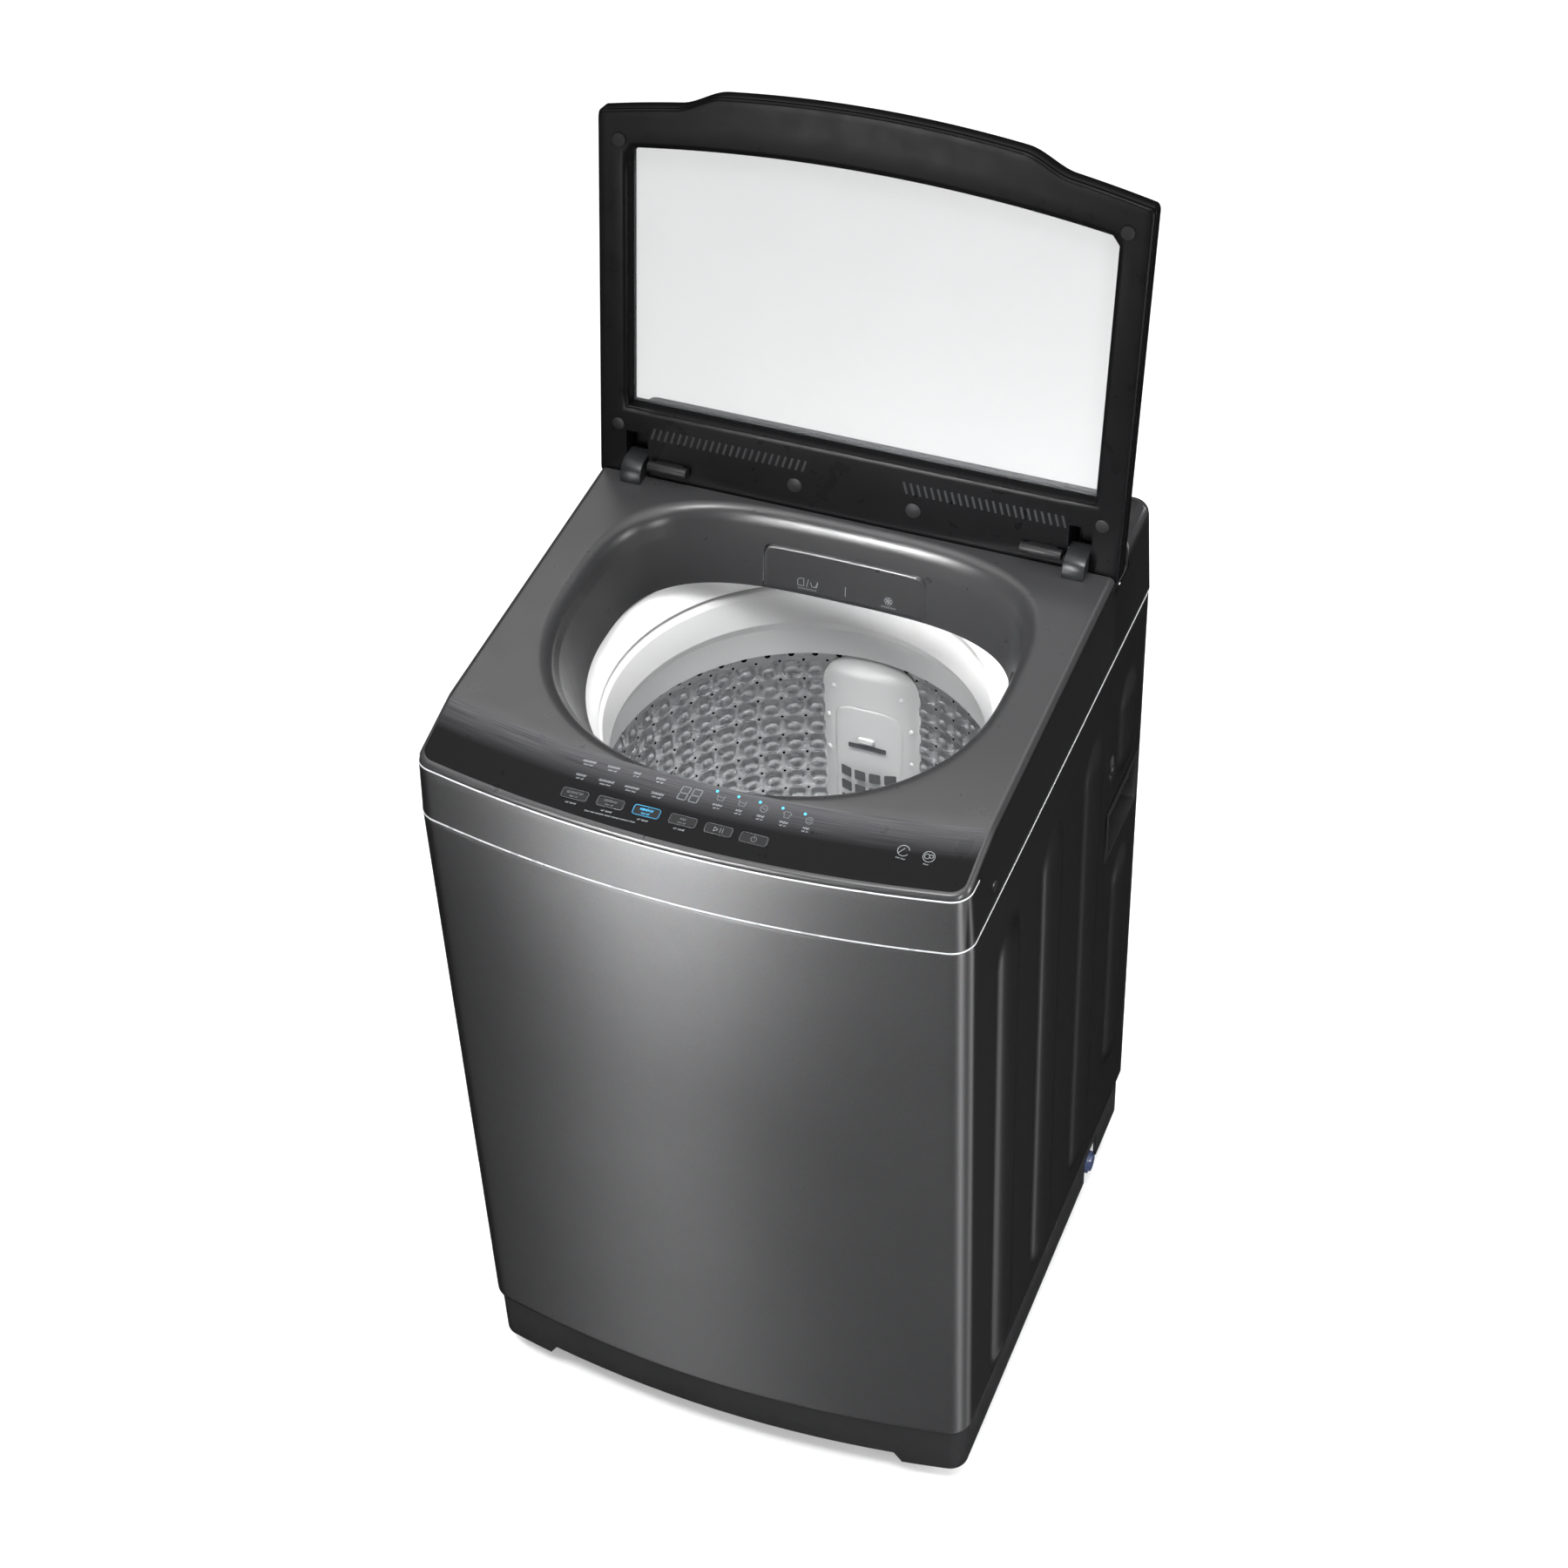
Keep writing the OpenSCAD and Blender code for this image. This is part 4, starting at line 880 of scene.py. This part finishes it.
def console():
    """One continuous foil with a hole for each button."""
    b = Build()
    # the panel's outline: inset along the front and sides, then the back arc
    inset = 9.4
    rb = RC - 74.2
    n = 16
    keep = [(x, y) for x, y in front_path(inset, 100, 14) if math.hypot(x, CY - y) > rb + 0.5]
    # side edges: extend along the flank until the back arc
    xe = HW - inset
    ye = CY - math.sqrt(rb * rb - xe * xe)
    side = steps(keep[-1][1], ye, 5)[1:]
    left = [(-xe, y) for y in side[::-1]]
    right = [(xe, y) for y in side]
    edge = left + keep + right
    # each column runs from the front edge back along the crown's radius
    rows = []
    for k in range(n + 1):
        u = k / n
        row = []
        for x, y in edge:
            ang = math.atan2(x, CY - y)
            bx, by = rb * math.sin(ang), CY - rb * math.cos(ang)
            px, py = lerp(x, bx, u), lerp(y, by, u)
            d = min(u, 1 - u) * math.hypot(bx - x, by - y)
            h = 0.32 - 0.3 * (1 - smooth(0, 1.4, d))
            row.append(cone(px, py, h))
        rows.append(row)
    b.grid(rows)
    o = b.make("console_foil", "cabinet", M["panel"], slot="panel_black", replaces=["control_panel"])
    solid(o, 0.7)
    cutters = []
    for k, x in enumerate(BX):
        c = Build()
        plan = rounded_rect(x, BYC, 27.0, 11.5, 3.0)
        ids = c.loft([[cone(px, py, h) for px, py in plan] for h in (-3.0, 3.0)])
        c.cap(ids[0], flip=True)
        c.cap(ids[1])
        cutters.append(c.make("cutter%d" % k, None, M["seam"]))
    cut(o, cutters, 40)


console()


def button_wells():
    """Dark collars under the foil, one round each button."""
    b = Build()
    for x in BX:
        plan = rounded_rect(x, BYC, 27.3, 11.8, 3.1)
        b.loft([[cone(px, py, h) for px, py in plan] for h in (-0.3, -6.0)])
    b.make("button_wells", "cabinet", M["seam"], slot="panel_black", shade=False)


button_wells()


class Marks:
    """Flat strokes a hair above the console, in console x and y."""

    def __init__(self, h=0.42):
        self.b = Build()
        self.h = h

    def stroke(self, pts, w, closed=False):
        seq = list(pts) + ([pts[0]] if closed else [])
        for (xa, ya), (xb, yb) in zip(seq, seq[1:]):
            dx, dy = xb - xa, yb - ya
            ln = math.hypot(dx, dy) or 1
            nx, ny = -dy / ln * w / 2, dx / ln * w / 2
            ex, ey = dx / ln * w * 0.25, dy / ln * w * 0.25
            q = [(xa + nx - ex, ya + ny - ey), (xa - nx - ex, ya - ny - ey),
                 (xb - nx + ex, yb - ny + ey), (xb + nx + ex, yb + ny + ey)]
            q = [cone(px, py, self.h) for px, py in q]
            self.b.f.append(tuple(self.b.add(q)))

    def ring(self, cx, cy, r, w, a0=0, a1=360, n=24):
        angles = [math.radians(lerp(a0, a1, k / n)) for k in range(n + 1)]
        pts = [(cx + r * math.cos(a), cy + r * math.sin(a)) for a in angles]
        self.stroke(pts, w)

    def dot(self, cx, cy, r, n=16):
        pts = [cone(x, y, self.h) for x, y in circle(r, n, cx, cy)]
        self.b.f.append(tuple(self.b.add(pts)))

    def bars(self, cx, cy, lens, w, gap=0.9):
        """Word-like bars, centred on cx."""
        total = sum(lens) + gap * (len(lens) - 1)
        x = cx - total / 2
        for ln in lens:
            # each bar is broken into letter-sized ticks
            k = max(1, int(ln / 1.3))
            for q in range(k):
                xa = x + ln * q / k
                hh = w * (0.82 if (q * 7 + k) % 3 else 1.15)
                self.stroke([(xa + 0.25, cy - hh / 2), (xa + 0.25, cy + hh / 2)], 0.42)
                if (q + k) % 2 == 0:
                    self.stroke([(xa + 0.25, cy), (xa + ln / k - 0.25, cy)], 0.4)
                else:
                    self.stroke([(xa + 0.25, cy + hh / 2), (xa + ln / k - 0.35, cy + hh / 2)], 0.4)
            x += ln + gap

    def make(self, name, body, mat, slot):
        self.b.make(name, body, mat, slot=slot, shade=False)


STAGE_X = (25, 45.5, 66, 88, 109)


def console_marks():
    m = Marks()
    # programme names: two rows of four, each over a smaller second line
    for x, y, ln in ((-106, -214.5, 13), (-82, -214.8, 12), (-59, -215, 7), (-36, -215, 9),
                     (-108, -229.5, 10), (-83, -229.8, 15), (-58, -230, 14), (-33, -230, 12)):
        m.bars(x + 2, y, [ln], 2.1)
        m.bars(x + 2, y - 3.6, [ln * 0.35, ln * 0.3], 1.1)
    # second lines on the panel's front strip, in front of the buttons
    for x in BX[:4]:
        m.bars(x, BYC - 9.2, [3.2, 6.5], 1.2)
    m.bars(-64, BYC - 13.2, [5, 4, 8, 6, 7, 9, 5], 1.0)
    # stage names under their symbols
    for k, x in enumerate(STAGE_X):
        m.bars(x, -226.5, [(9, 6, 7, 8, 6)[k]], 1.9)
        m.bars(x, -229.8, [3, 2.4], 1.0)
    # two round symbols with their captions at the panel's right end
    m.ring(198, -222, 5.2, 0.55, 20, 330)
    m.stroke([(194.4, -225), (198.5, -219.5)], 0.5)
    m.ring(221, -221, 5.2, 0.55, 0, 360)
    m.ring(219.4, -221, 2.3, 0.5, 0, 360, 14)
    m.ring(223, -220.2, 1.7, 0.5, 0, 360, 12)
    m.bars(198, -230, [4, 4], 1.0)
    m.bars(221, -229, [5], 1.0)
    m.make("panel_print", "cabinet", M["ink"], "panel_black")
    # water, soak, wash, rinse and spin symbols
    s = Marks()
    for k, x in enumerate(STAGE_X):
        y = -218.5
        if k in (0, 1):
            s.stroke([(x - 3.4, y + 2.6), (x - 2.8, y - 2.8), (x + 2.8, y - 2.8), (x + 3.4, y + 2.6)], 0.5)
            s.stroke([(x - 3, y + 0.2), (x - 1, y + 0.9), (x + 1, y - 0.1), (x + 3, y + 0.7)], 0.45)
        elif k == 2:
            s.ring(x, y, 3.3, 0.5)
            s.stroke([(x - 2.4, y), (x - 0.8, y + 0.8), (x + 0.8, y - 0.6), (x + 2.4, y + 0.2)], 0.45)
        elif k == 3:
            s.stroke([(x - 2, y + 3), (x - 4, y + 1), (x - 2.6, y), (x - 2.2, y - 3),
                      (x + 2.2, y - 3), (x + 2.6, y), (x + 4, y + 1), (x + 2, y + 3)], 0.5, True)
        else:
            s.ring(x, y, 3.3, 0.5, 30, 360)
            s.ring(x, y, 1.6, 0.5, 200, 520)
    # a generic display figure, two digits of seven bars each
    for cx in (-8.6, 2.4):
        w, h = 3.3, 4.4
        y0 = -223
        for seg in (((-w, h * 1.5), (w, h * 1.5)), ((-w, 0), (w, 0)), ((-w, -h * 1.5), (w, -h * 1.5)),
                    ((-w - 0.6, 0.7), (-w - 0.6, h * 1.4)), ((w + 0.6, 0.7), (w + 0.6, h * 1.4)),
                    ((-w - 0.6, -0.7), (-w - 0.6, -h * 1.4)), ((w + 0.6, -0.7), (w + 0.6, -h * 1.4))):
            (xa, ya), (xb, yb) = seg
            s.stroke([(cx + xa + ya * 0.12, y0 + ya), (cx + xb + yb * 0.12, y0 + yb)], 0.95)
    s.make("panel_symbols", "cabinet", M["ink_dim"], "panel_black")
    d = Marks(0.46)
    for x in (19.5, 40, 60.5, 82, 103):
        d.dot(x, -213.2, 1.35)
    d.make("panel_lights", "cabinet", M["blue"], "panel_black")
    # outlines and marks on each button ride on the button
    for k, (x, nm) in enumerate(zip(BX, BN)):
        q = Marks(0.42)
        mat = M["blue"] if k == 2 else M["ink_dim"]
        q.stroke(rounded_rect(x, BYC, 25.0, 9.6, 2.3, 4), 0.3, True)
        if k == 4:
            q.stroke([(x - 4.2, BYC + 2.2), (x - 4.2, BYC - 2.2), (x - 0.4, BYC)], 0.6, True)
            q.stroke([(x + 1.9, BYC + 2.2), (x + 1.9, BYC - 2.2)], 0.7)
            q.stroke([(x + 4.2, BYC + 2.2), (x + 4.2, BYC - 2.2)], 0.7)
        elif k == 5:
            q.ring(x, BYC - 0.2, 2.5, 0.6, 120, 420)
            q.stroke([(x, BYC), (x, BYC + 3)], 0.6)
        else:
            q.bars(x, BYC + 1.3, ((11, 4), (13,), (13,), (6,))[k], 2.2)
            q.bars(x, BYC - 2.6, [4, 3], 1.1)
        q.make("mark_" + nm, nm, mat, "button_black")


console_marks()


# ---------- lid, drawn closed round its pivot, then leaned back ----------
PIV = Vector((0, 184.1, 916.0))
LEAN = math.radians(2.1 - 101.5)
HWL, REACH, LT, LY0, LIN = 269.0, 399.0, 22.0, 13.7, -9.5
LOUT = LIN + LT
ROT = Matrix.Rotation(LEAN, 3, "X")


def lid_pt(x, y, z):
    return tuple(PIV + ROT @ Vector((x, y, z)))


def lid_front(x, i=0.0):
    x = abs(x)
    return LY0 - (REACH - 28 * (x / 265) ** 2 + 12 * (1 - smooth(144, 190, x))) + i


def lid_loop(i=0.0):
    """Outline of the lid drawn in by i: right side, tail, left side, curved front."""
    w, tail = HWL - i, 26.7 - i
    rr = max(1.0, 12.0 - i)
    pts = []
    for k in range(9):
        a = math.radians(90 * k / 8)
        pts.append((w - rr + rr * math.cos(a), tail - rr + rr * math.sin(a)))
    for k in range(9):
        a = math.radians(90 + 90 * k / 8)
        pts.append((-w + rr + rr * math.cos(a), tail - rr + rr * math.sin(a)))
    yf = lid_front(w - 5, i)
    ys = [lerp(tail - rr - 6, yf + 7, k / 17) for k in range(18)]
    pts += [(-w, y) for y in ys]
    xs = [lerp(-w + 5, w - 5, k / 126) for k in range(127)]
    for k in range(1, 6):
        a = math.radians(90 * k / 6)
        pts.append((-w + 5 - 5 * math.cos(a), yf + 7 - 7 * math.sin(a)))
    pts += [(x, lid_front(x, i)) for x in xs]
    for k in range(5, 0, -1):
        a = math.radians(90 * k / 6)
        pts.append((w - 5 + 5 * math.cos(a), yf + 7 - 7 * math.sin(a)))
    pts += [(w, y) for y in ys[::-1]]
    return pts


def window_poly(i=0.0):
    w = 238.0 - i
    yb = LY0 - 71 - i
    pts = [(w, yb), (-w, yb)]
    pts += [(-w, LY0 - 329 + i)]
    pts += [(x, LY0 - 354.5 + 16.5 * (x / 232) ** 2 + i) for x in steps(-w + 7, w - 7, 8)]
    pts += [(w, LY0 - 329 + i)]
    return pts


def lid_frames():
    base = lid_loop(0)
    n = len(base)
    cx, cy = 0.0, LY0 - 205.0

    def win(i):
        poly = window_poly(i)
        out = [ray_hit(poly, cx, cy, x - cx, y - cy) for x, y in base]
        for c in poly:
            if abs(c[0]) > 236 - i - 8:
                k = min(range(n), key=lambda q: math.hypot(out[q][0] - c[0], out[q][1] - c[1]))
                out[k] = c
        return out

    def lvl(pts, z):
        return [lid_pt(x, y, z) for x, y in pts]
    # outer shell: window edge, outer face, rounded edge, side wall down to the seam
    o = Build()
    seam = LIN + 3.6
    rings = [lvl(win(0), LOUT - 2.5), lvl(win(0), LOUT - 0.6), lvl(win(-0.6), LOUT)]
    for k in range(9):
        a = math.radians(90 * k / 8)
        i = 5.5 * (1 - math.sin(a))
        rings.append(lvl(lid_loop(i), LOUT - 5.5 + 5.5 * math.cos(a)))
    rings += [lvl(lid_loop(0), seam + 0.8), lvl(lid_loop(0.4), seam + 0.15), lvl(lid_loop(2.4), seam + 0.15)]
    ids = o.loft(rings)
    o.bridge(ids[-1], ids[0])
    ob = o.make("lid_outer", "lid", M["lid"], slot="lid_black", replaces=["lid_outer_frame"], auto=55)
    # inner shell: from the seam round to the inner face and into the window's chamfer
    q = Build()
    rings = [lvl(lid_loop(2.4), seam - 0.15), lvl(lid_loop(1.2), seam - 0.15), lvl(lid_loop(0.9), seam - 0.6)]
    for k in range(7):
        a = math.radians(90 * k / 6)
        rings.append(lvl(lid_loop(0.9 + 2.4 - 2.4 * math.cos(a)), LIN + 2.4 - 2.4 * math.sin(a)))
    inner_a = lid_loop(9)
    inner_b = win(-7)
    for u in (0.0, 0.5, 1.0):
        between = [(lerp(p[0], r[0], u), lerp(p[1], r[1], u)) for p, r in zip(inner_a, inner_b)]
        rings.append(lvl(between, LIN))
    rings += [lvl(win(-3.2), LIN + 0.35), lvl(win(-1.4), LIN + 1.5), lvl(win(-0.4), LIN + 3.4),
              lvl(win(0), LIN + 6.0), lvl(win(0), LOUT - 6.6)]
    ids = q.loft(rings, flip=True)
    q.bridge(ids[-1], ids[0], flip=True)
    inner = q.make("lid_inner", "lid", M["lid"], slot="lid_black", replaces=["lid_inner_frame"], auto=55)
    for piece in (ob, inner):
        cutters = []
        for s in (-1, 1):
            c = Build()
            c.box((s * 228 - 11.6, -30.5, -12.5), (s * 228 + 11.6, 29.5, 10.0), place=lid_pt)
            cutters.append(c.make("notch", None, M["lid"], shade=False))
        cut(piece, cutters, 50)


def lid_details():
    """Vent marks, hinge eyes, and fine lines round the damper pads and caps."""
    v = Build()
    for s in (-1, 1):
        for k in range(24):
            cx, cy = s * (52 + 6.9 * k), LY0 - 46
            a = math.radians(-17 * s)
            pts = []
            for px, py in ((-1.2, -6.4), (1.2, -6.4), (1.2, 6.4), (-1.2, 6.4)):
                turned = (px * math.cos(a) - py * math.sin(a), px * math.sin(a) + py * math.cos(a))
                pts.append((cx + turned[0], cy + turned[1]))
            ids = v.loft([[lid_pt(x, y, LIN - 0.08) for x, y in pts]])
            v.f.append(tuple(ids[0]))
    v.make("lid_vents", "lid", M["base"], slot="lid_black", shade=False)
    e = Build()
    for s in (-1, 1):
        for xa, xb in ((s * 228 - 23, s * 228 - 11.6), (s * 228 + 11.6, s * 228 + 23)):
            ring = circle(7.2, 20)
            e.loft([[lid_pt(x, y, z) for y, z in ring] for x in (xa, xa + 0.01, xb - 0.01, xb)])
    e.make("lid_eyes", "lid", M["lid"], slot="lid_black", auto=40)
    g = Build()
    for s in (-1, 1):
        pts = rounded_rect(s * 180, -28, 96, 36, 1.5, 3)
        inn = rounded_rect(s * 180, -28, 95.2, 35.2, 1.3, 3)
        g.loft([[lid_pt(x, y, LIN - 0.06) for x, y in q] for q in (pts, inn)], flip=True)
        for cx, cy, r in ((248, LY0 - 50, 7.4), (61, LY0 - 23.5, 8.4), (246, LY0 - 345, 7.4)):
            ring = [circle(q, 32, s * cx, cy) for q in (r, r - 0.6)]
            g.loft([[lid_pt(x, y, LIN - 0.06) for x, y in q] for q in ring])
    g.make("lid_lines", "lid", M["seam"], slot="lid_black", shade=False)


lid_frames()
lid_details()


# ---------- rings and drum ----------
prof = fillet([(190.4, 787.6), (205.7, 815), (209.3, 815), (209.3, 792.4), (234.8, 792.4), (234.8, 779.2),
               (233.2, 779.2), (233.2, 790.2), (207.2, 790.2), (207.2, 810), (192.6, 787.6)],
              [1, 1.6, 1.4, 3, 1.5, 0.5, 0.5, 1, 1, 1, 0.6], 4, closed=True)
prof.append(prof[0])
lathe(prof, "collar", "tub", M["white"], n=192, slot="white_plastic", replaces=["tub_cover"], auto=50)
prof = fillet([(193.6, 694.2), (204.6, 694.2), (204.6, 712.5), (209.8, 712.5), (209.8, 776), (206, 782.8),
               (190, 782.8), (187.4, 778), (183.5, 744), (187.8, 733)],
              [1.2, 0.5, 0.5, 1, 2, 3, 3.5, 3, 4, 3], 5, closed=True)
prof.append(prof[0])
lathe(prof, "ring", "drum", M["white"], n=192, slot="white_plastic", replaces=["balance_ring"], auto=60)

COLS, PZ, Z_TOP, Z_BOT = 52, 25.6, 693.5, 305.0


def boss(a, z):
    """Raised rounded boxes with a dished middle, in rows and columns."""
    pitch = 2 * math.pi / COLS
    if z > 676 or z < 322:
        return 0.0
    row = (676 - z) / PZ
    u = (a / pitch) % 1.0 - 0.5
    v = row % 1.0 - 0.5
    e = (abs(u / 0.36) ** 5 + abs(v / 0.37) ** 5) ** 0.2
    h = 3.6 * (1 - smooth(0.78, 1.0, e))
    h -= 2.6 * (1 - smooth(0.46, 0.66, e))
    return h


def drum():
    b = Build()
    na = COLS * 10
    zs = [Z_TOP, 688, 683, 678]
    nr = int((676 - 322) / PZ) + 1
    z = 676.0
    while z > 322:
        zs.append(z)
        z -= PZ / 10
    zs += [320, 312, Z_BOT]
    rows = []
    for z in zs:
        row = []
        for k in range(na + 1):
            a = 2 * math.pi * k / na
            r = 204.9 - boss(a, z)
            row.append((r * math.cos(a), DY + r * math.sin(a), z))
        rows.append(row)
    b.grid(rows, flip=False)
    o = b.make("drum_wall", "drum", M["drum"], slot="drum_steel", replaces=["drum_shell"])
    solid(o, 0.7)
    # pierced rows drawn as flat near-black discs, painted shade in place of openings: round ones on top,
    # small ones between the bosses
    h = Build()

    def hole(a, z, r, n=12):
        rr = 204.55
        pts = []
        for dx, dz in circle(r, n):
            aa = a + dx / rr
            pts.append((rr * math.cos(aa), DY + rr * math.sin(aa), z + dz))
        h.f.append(tuple(h.add(pts)))
    pitch = 2 * math.pi / COLS
    for k in range(COLS):
        hole(pitch * (k + 0.5), 684.5, 3.2, 16)
        for q in range(nr):
            hole(pitch * k, 676 - PZ * q, 1.5, 10)
    h.make("drum_holes_painted_shade", "drum", M["seam"], slot="drum_steel", shade=False)


drum()


# ---------- lint filter ----------
def drum_face(x):
    """Distance along +Y from the drum's axis to the domed face."""
    return 205.0 + 50.0 - math.sqrt(max(0.0, 78.0 ** 2 - x * x))


def face_y(x):
    return DY + drum_face(x * 0.93) + 2.0


def filter_outline(w, z0, zc, i):
    """Round-topped outline, drawn in by i, from the lower left round the top to the lower right."""
    n = 24
    pts = [(-w + i, z0 + i)]
    for k in range(n + 1):
        a = math.pi - math.pi * k / n
        c, s = math.cos(a), math.sin(a)
        # a squarer arch than a half circle
        m = (abs(c) ** 2.9 + abs(s) ** 2.9) ** (-1 / 2.9)
        pts.append(((w - i) * c * m, zc + (w - i) * 0.92 * s * m))
    pts.append((w - i, z0 + i))
    return pts


def filter_body():
    b = Build()
    rings = []
    w, z0, zc = 54.0, 383.0, 638.0
    levels = [(0, 1.0), (0.4, 0.62), (1.6, 0.36), (3.6, 0.16), (6.5, 0.05), (10, 0.0)]
    for i, d in levels:
        ring = []
        for x, z in filter_outline(w, z0, zc, i):
            wall = math.sqrt(204.2 ** 2 - x * x)
            face = drum_face(x * 0.93) + 2.0
            ring.append((x, DY + lerp(min(face, wall), wall, d), z))
        rings.append(ring)
    ids = b.loft(rings, flip=True)
    # face between the rounded edge and the door's opening
    inner = filter_outline(38, 398, 604, 0)
    face_ring = []
    for x, z in inner:
        face_ring.append((x, face_y(x), z))
    last = ids[-1]
    steps_n = 6
    outer_pts = [b.v[i] for i in last]
    prev = last
    for k in range(1, steps_n + 1):
        u = k / steps_n
        ring = []
        for p, q in zip(outer_pts, face_ring):
            x, z = lerp(p[0], q[0], u), lerp(p[2], q[2], u)
            ring.append((x, face_y(x), z))
        cur = b.add(ring)
        b.bridge(prev, cur, flip=True)
        prev = cur
    # the opening's rim folds back
    for dy in (0.5, 3, 14):
        ring = [(x, face_y(x) + dy, z) for x, z in filter_outline(38, 398, 604, 0.3)]
        cur = b.add(ring)
        b.bridge(prev, cur, flip=True)
        prev = cur
    b.cap(prev, flip=True)
    b.make("filter_case", "drum", M["white"], slot="white_plastic", replaces=["filter_housing"], auto=50)
    # three bumps on each side, and two above the arch
    t = Build()
    for s in (-1, 1):
        for z in (565, 610, 655):
            x = s * (45.5 if z < 640 else 37)
            c = Vector((x, face_y(x), z))
            rings = []
            for k in range(5):
                a = math.radians(90 * k / 4)
                r, h = 3.2 * math.cos(a) + 0.02, 2.0 * math.sin(a)
                rings.append([(px, c.y - h, pz) for px, pz in circle(r, 16, c.x, c.z)])
            t.loft(rings, flip=True)
    t.make("filter_bumps", "drum", M["white"], slot="white_plastic")


def filter_door():
    b = Build()
    w, z0, zc = 37.4, 401.5, 604.0
    out = []
    for i, d in ((0, 7.0), (0, 1.8), (0.5, 0.6), (1.6, 0.0), (3.5, -0.3)):
        out.append([(x, face_y(x) + d, z) for x, z in filter_outline(w, z0, zc, i)])
    ids = b.loft(out, flip=True)
    b.cap(ids[-1], flip=True)
    b.make("filter_face", "filter_door", M["white"], slot="white_plastic", replaces=["filter_door"], auto=50)
    d = Build()

    def window(x0, x1, z_0, z_1, depth=0.25):
        pts = rounded_rect((x0 + x1) / 2, (z_0 + z_1) / 2, x1 - x0, z_1 - z_0, 1.6, 3)
        ring = [(x, face_y(x) - 0.3 - depth, z) for x, z in pts]
        d.f.append(tuple(d.add(ring))[::-1])
    for r in range(7):
        for c in range(4):
            x = (c - 1.5) * 16.4
            z = 414 + r * 20.5
            window(x - 6.2, x + 6.2, z, z + 13.5)
    window(-21, 21, 580.5, 587)
    plain("lint", "lint_mesh", "5a5c5e", 0.6, vary=0.3, bump=0.3, grain=500)
    d.make("filter_mesh", "filter_door", M["lint"], slot="white_plastic", shade=False)
    g = Build()
    lat = rounded_rect(0, 596, 18, 6, 2.4, 4)
    ring0 = [(x, DY + drum_face(x * 0.93) + 1.6, z) for x, z in lat]
    ring1 = [(x * 0.92, DY + drum_face(x * 0.93) - 1.2, 596 + (z - 596) * 0.85) for x, z in lat]
    ids = g.loft([ring0, ring1], flip=True)
    g.cap(ids[-1], flip=True)
    g.make("filter_latch", "filter_door", M["white"], slot="white_plastic", auto=50)


filter_body()
filter_door()


# ---------- suspension springs as real coils ----------
def coils():
    b = Build()
    for sx in (-1, 1):
        for sy in (-1, 1):
            cx, cy = sx * 212, DY + sy * 205
            turns, n, r, w = 4.0, 36, 9.4, 0.7
            z0, z1 = 297.1, 320.3
            rings = []
            for k in range(int(turns * n) + 1):
                a = 2 * math.pi * k / n
                z = lerp(z0, z1, k / (turns * n))
                ring = []
                for q in range(8):
                    p = 2 * math.pi * q / 8
                    rr = r + w * math.cos(p)
                    ring.append((cx + rr * math.cos(a), cy + rr * math.sin(a), z + w * math.sin(p)))
                rings.append(ring)
            b.loft(rings, flip=True)
    o = b.make("coils", None, M["spring"], slot="spring_steel", replaces=["suspension_springs"])
    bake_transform(o)


coils()


# ---------- floor, light, camera ----------
def floor():
    b = Build()
    b.grid([[(-9000, -9000, -0.5), (9000, -9000, -0.5)], [(-9000, 9000, -0.5), (9000, 9000, -0.5)]])
    m = surface("floor_pale", (0.86, 0.86, 0.86), 0.75, vary=0.004, rough_vary=0.03, bump=0.0, spec=0.2)[0]
    o = b.make("floor", None, m, shade=False)
    # the machine's glossy parts mirror the lamps only
    o.visible_glossy = False


floor()


def area(name, loc, target, size, power, size_y=None, spread=180):
    d = bpy.data.lights.new(name, "AREA")
    d.shape = "RECTANGLE"
    d.size = size
    d.size_y = size_y or size
    d.energy = power
    d.spread = math.radians(spread)
    o = bpy.data.objects.new(name, d)
    bpy.context.scene.collection.objects.link(o)
    o.location = loc
    o.rotation_mode = "QUATERNION"
    o.rotation_quaternion = (Vector(target) - Vector(loc)).to_track_quat("-Z", "Y")
    o.visible_camera = False


area("overhead", (0, 0.8, 4.8), (0, 0.8, 0), 7.0, 450)
area("key", (-0.74, -2.2, 1.0), (0, -0.28, 0.75), 0.35, 30, size_y=0.6)
area("key_top", (-0.74, -2.2, 1.6), (0, -0.28, 1.0), 0.35, 1.2, size_y=0.4, spread=16)
area("drum_fill", (0.1, -0.9, 3.0), (0.0, 0.05, 0.7), 1.3, 3.9, spread=22)
area("corner_right", (1.95, -1.34, 0.9), (0.26, -0.25, 0.5), 0.25, 40, size_y=1.6)
area("side_right", (2.17, 0.25, 0.9), (0.27, 0, 0.5), 0.3, 34, size_y=1.6)

world = bpy.data.worlds.new("studio")
bpy.context.scene.world = world
world.use_nodes = True
world.cycles_visibility.glossy = False
world.node_tree.nodes["Background"].inputs["Color"].default_value = (1, 1, 1, 1)
world.node_tree.nodes["Background"].inputs["Strength"].default_value = 0.25

scene = bpy.context.scene
scene.view_settings.view_transform = "Standard"
cam_data = bpy.data.cameras.new("camera")
cam_data.lens = 70.54
cam_data.sensor_width = 36.0
cam_data.sensor_fit = "HORIZONTAL"
cam_data.clip_end = 60
cam = bpy.data.objects.new("camera", cam_data)
scene.collection.objects.link(cam)
right = Vector((0.92737, 0.37246, -0.03537))
back = Vector((0.29569, -0.67173, 0.67922))
up = back.cross(right).normalized()
right = up.cross(back).normalized()
rot = Matrix((right, up, back.normalized())).transposed()
cam.matrix_world = Matrix.Translation(Vector((0.8762, -2.0129, 2.7374))) @ rot.to_4x4()
scene.camera = cam
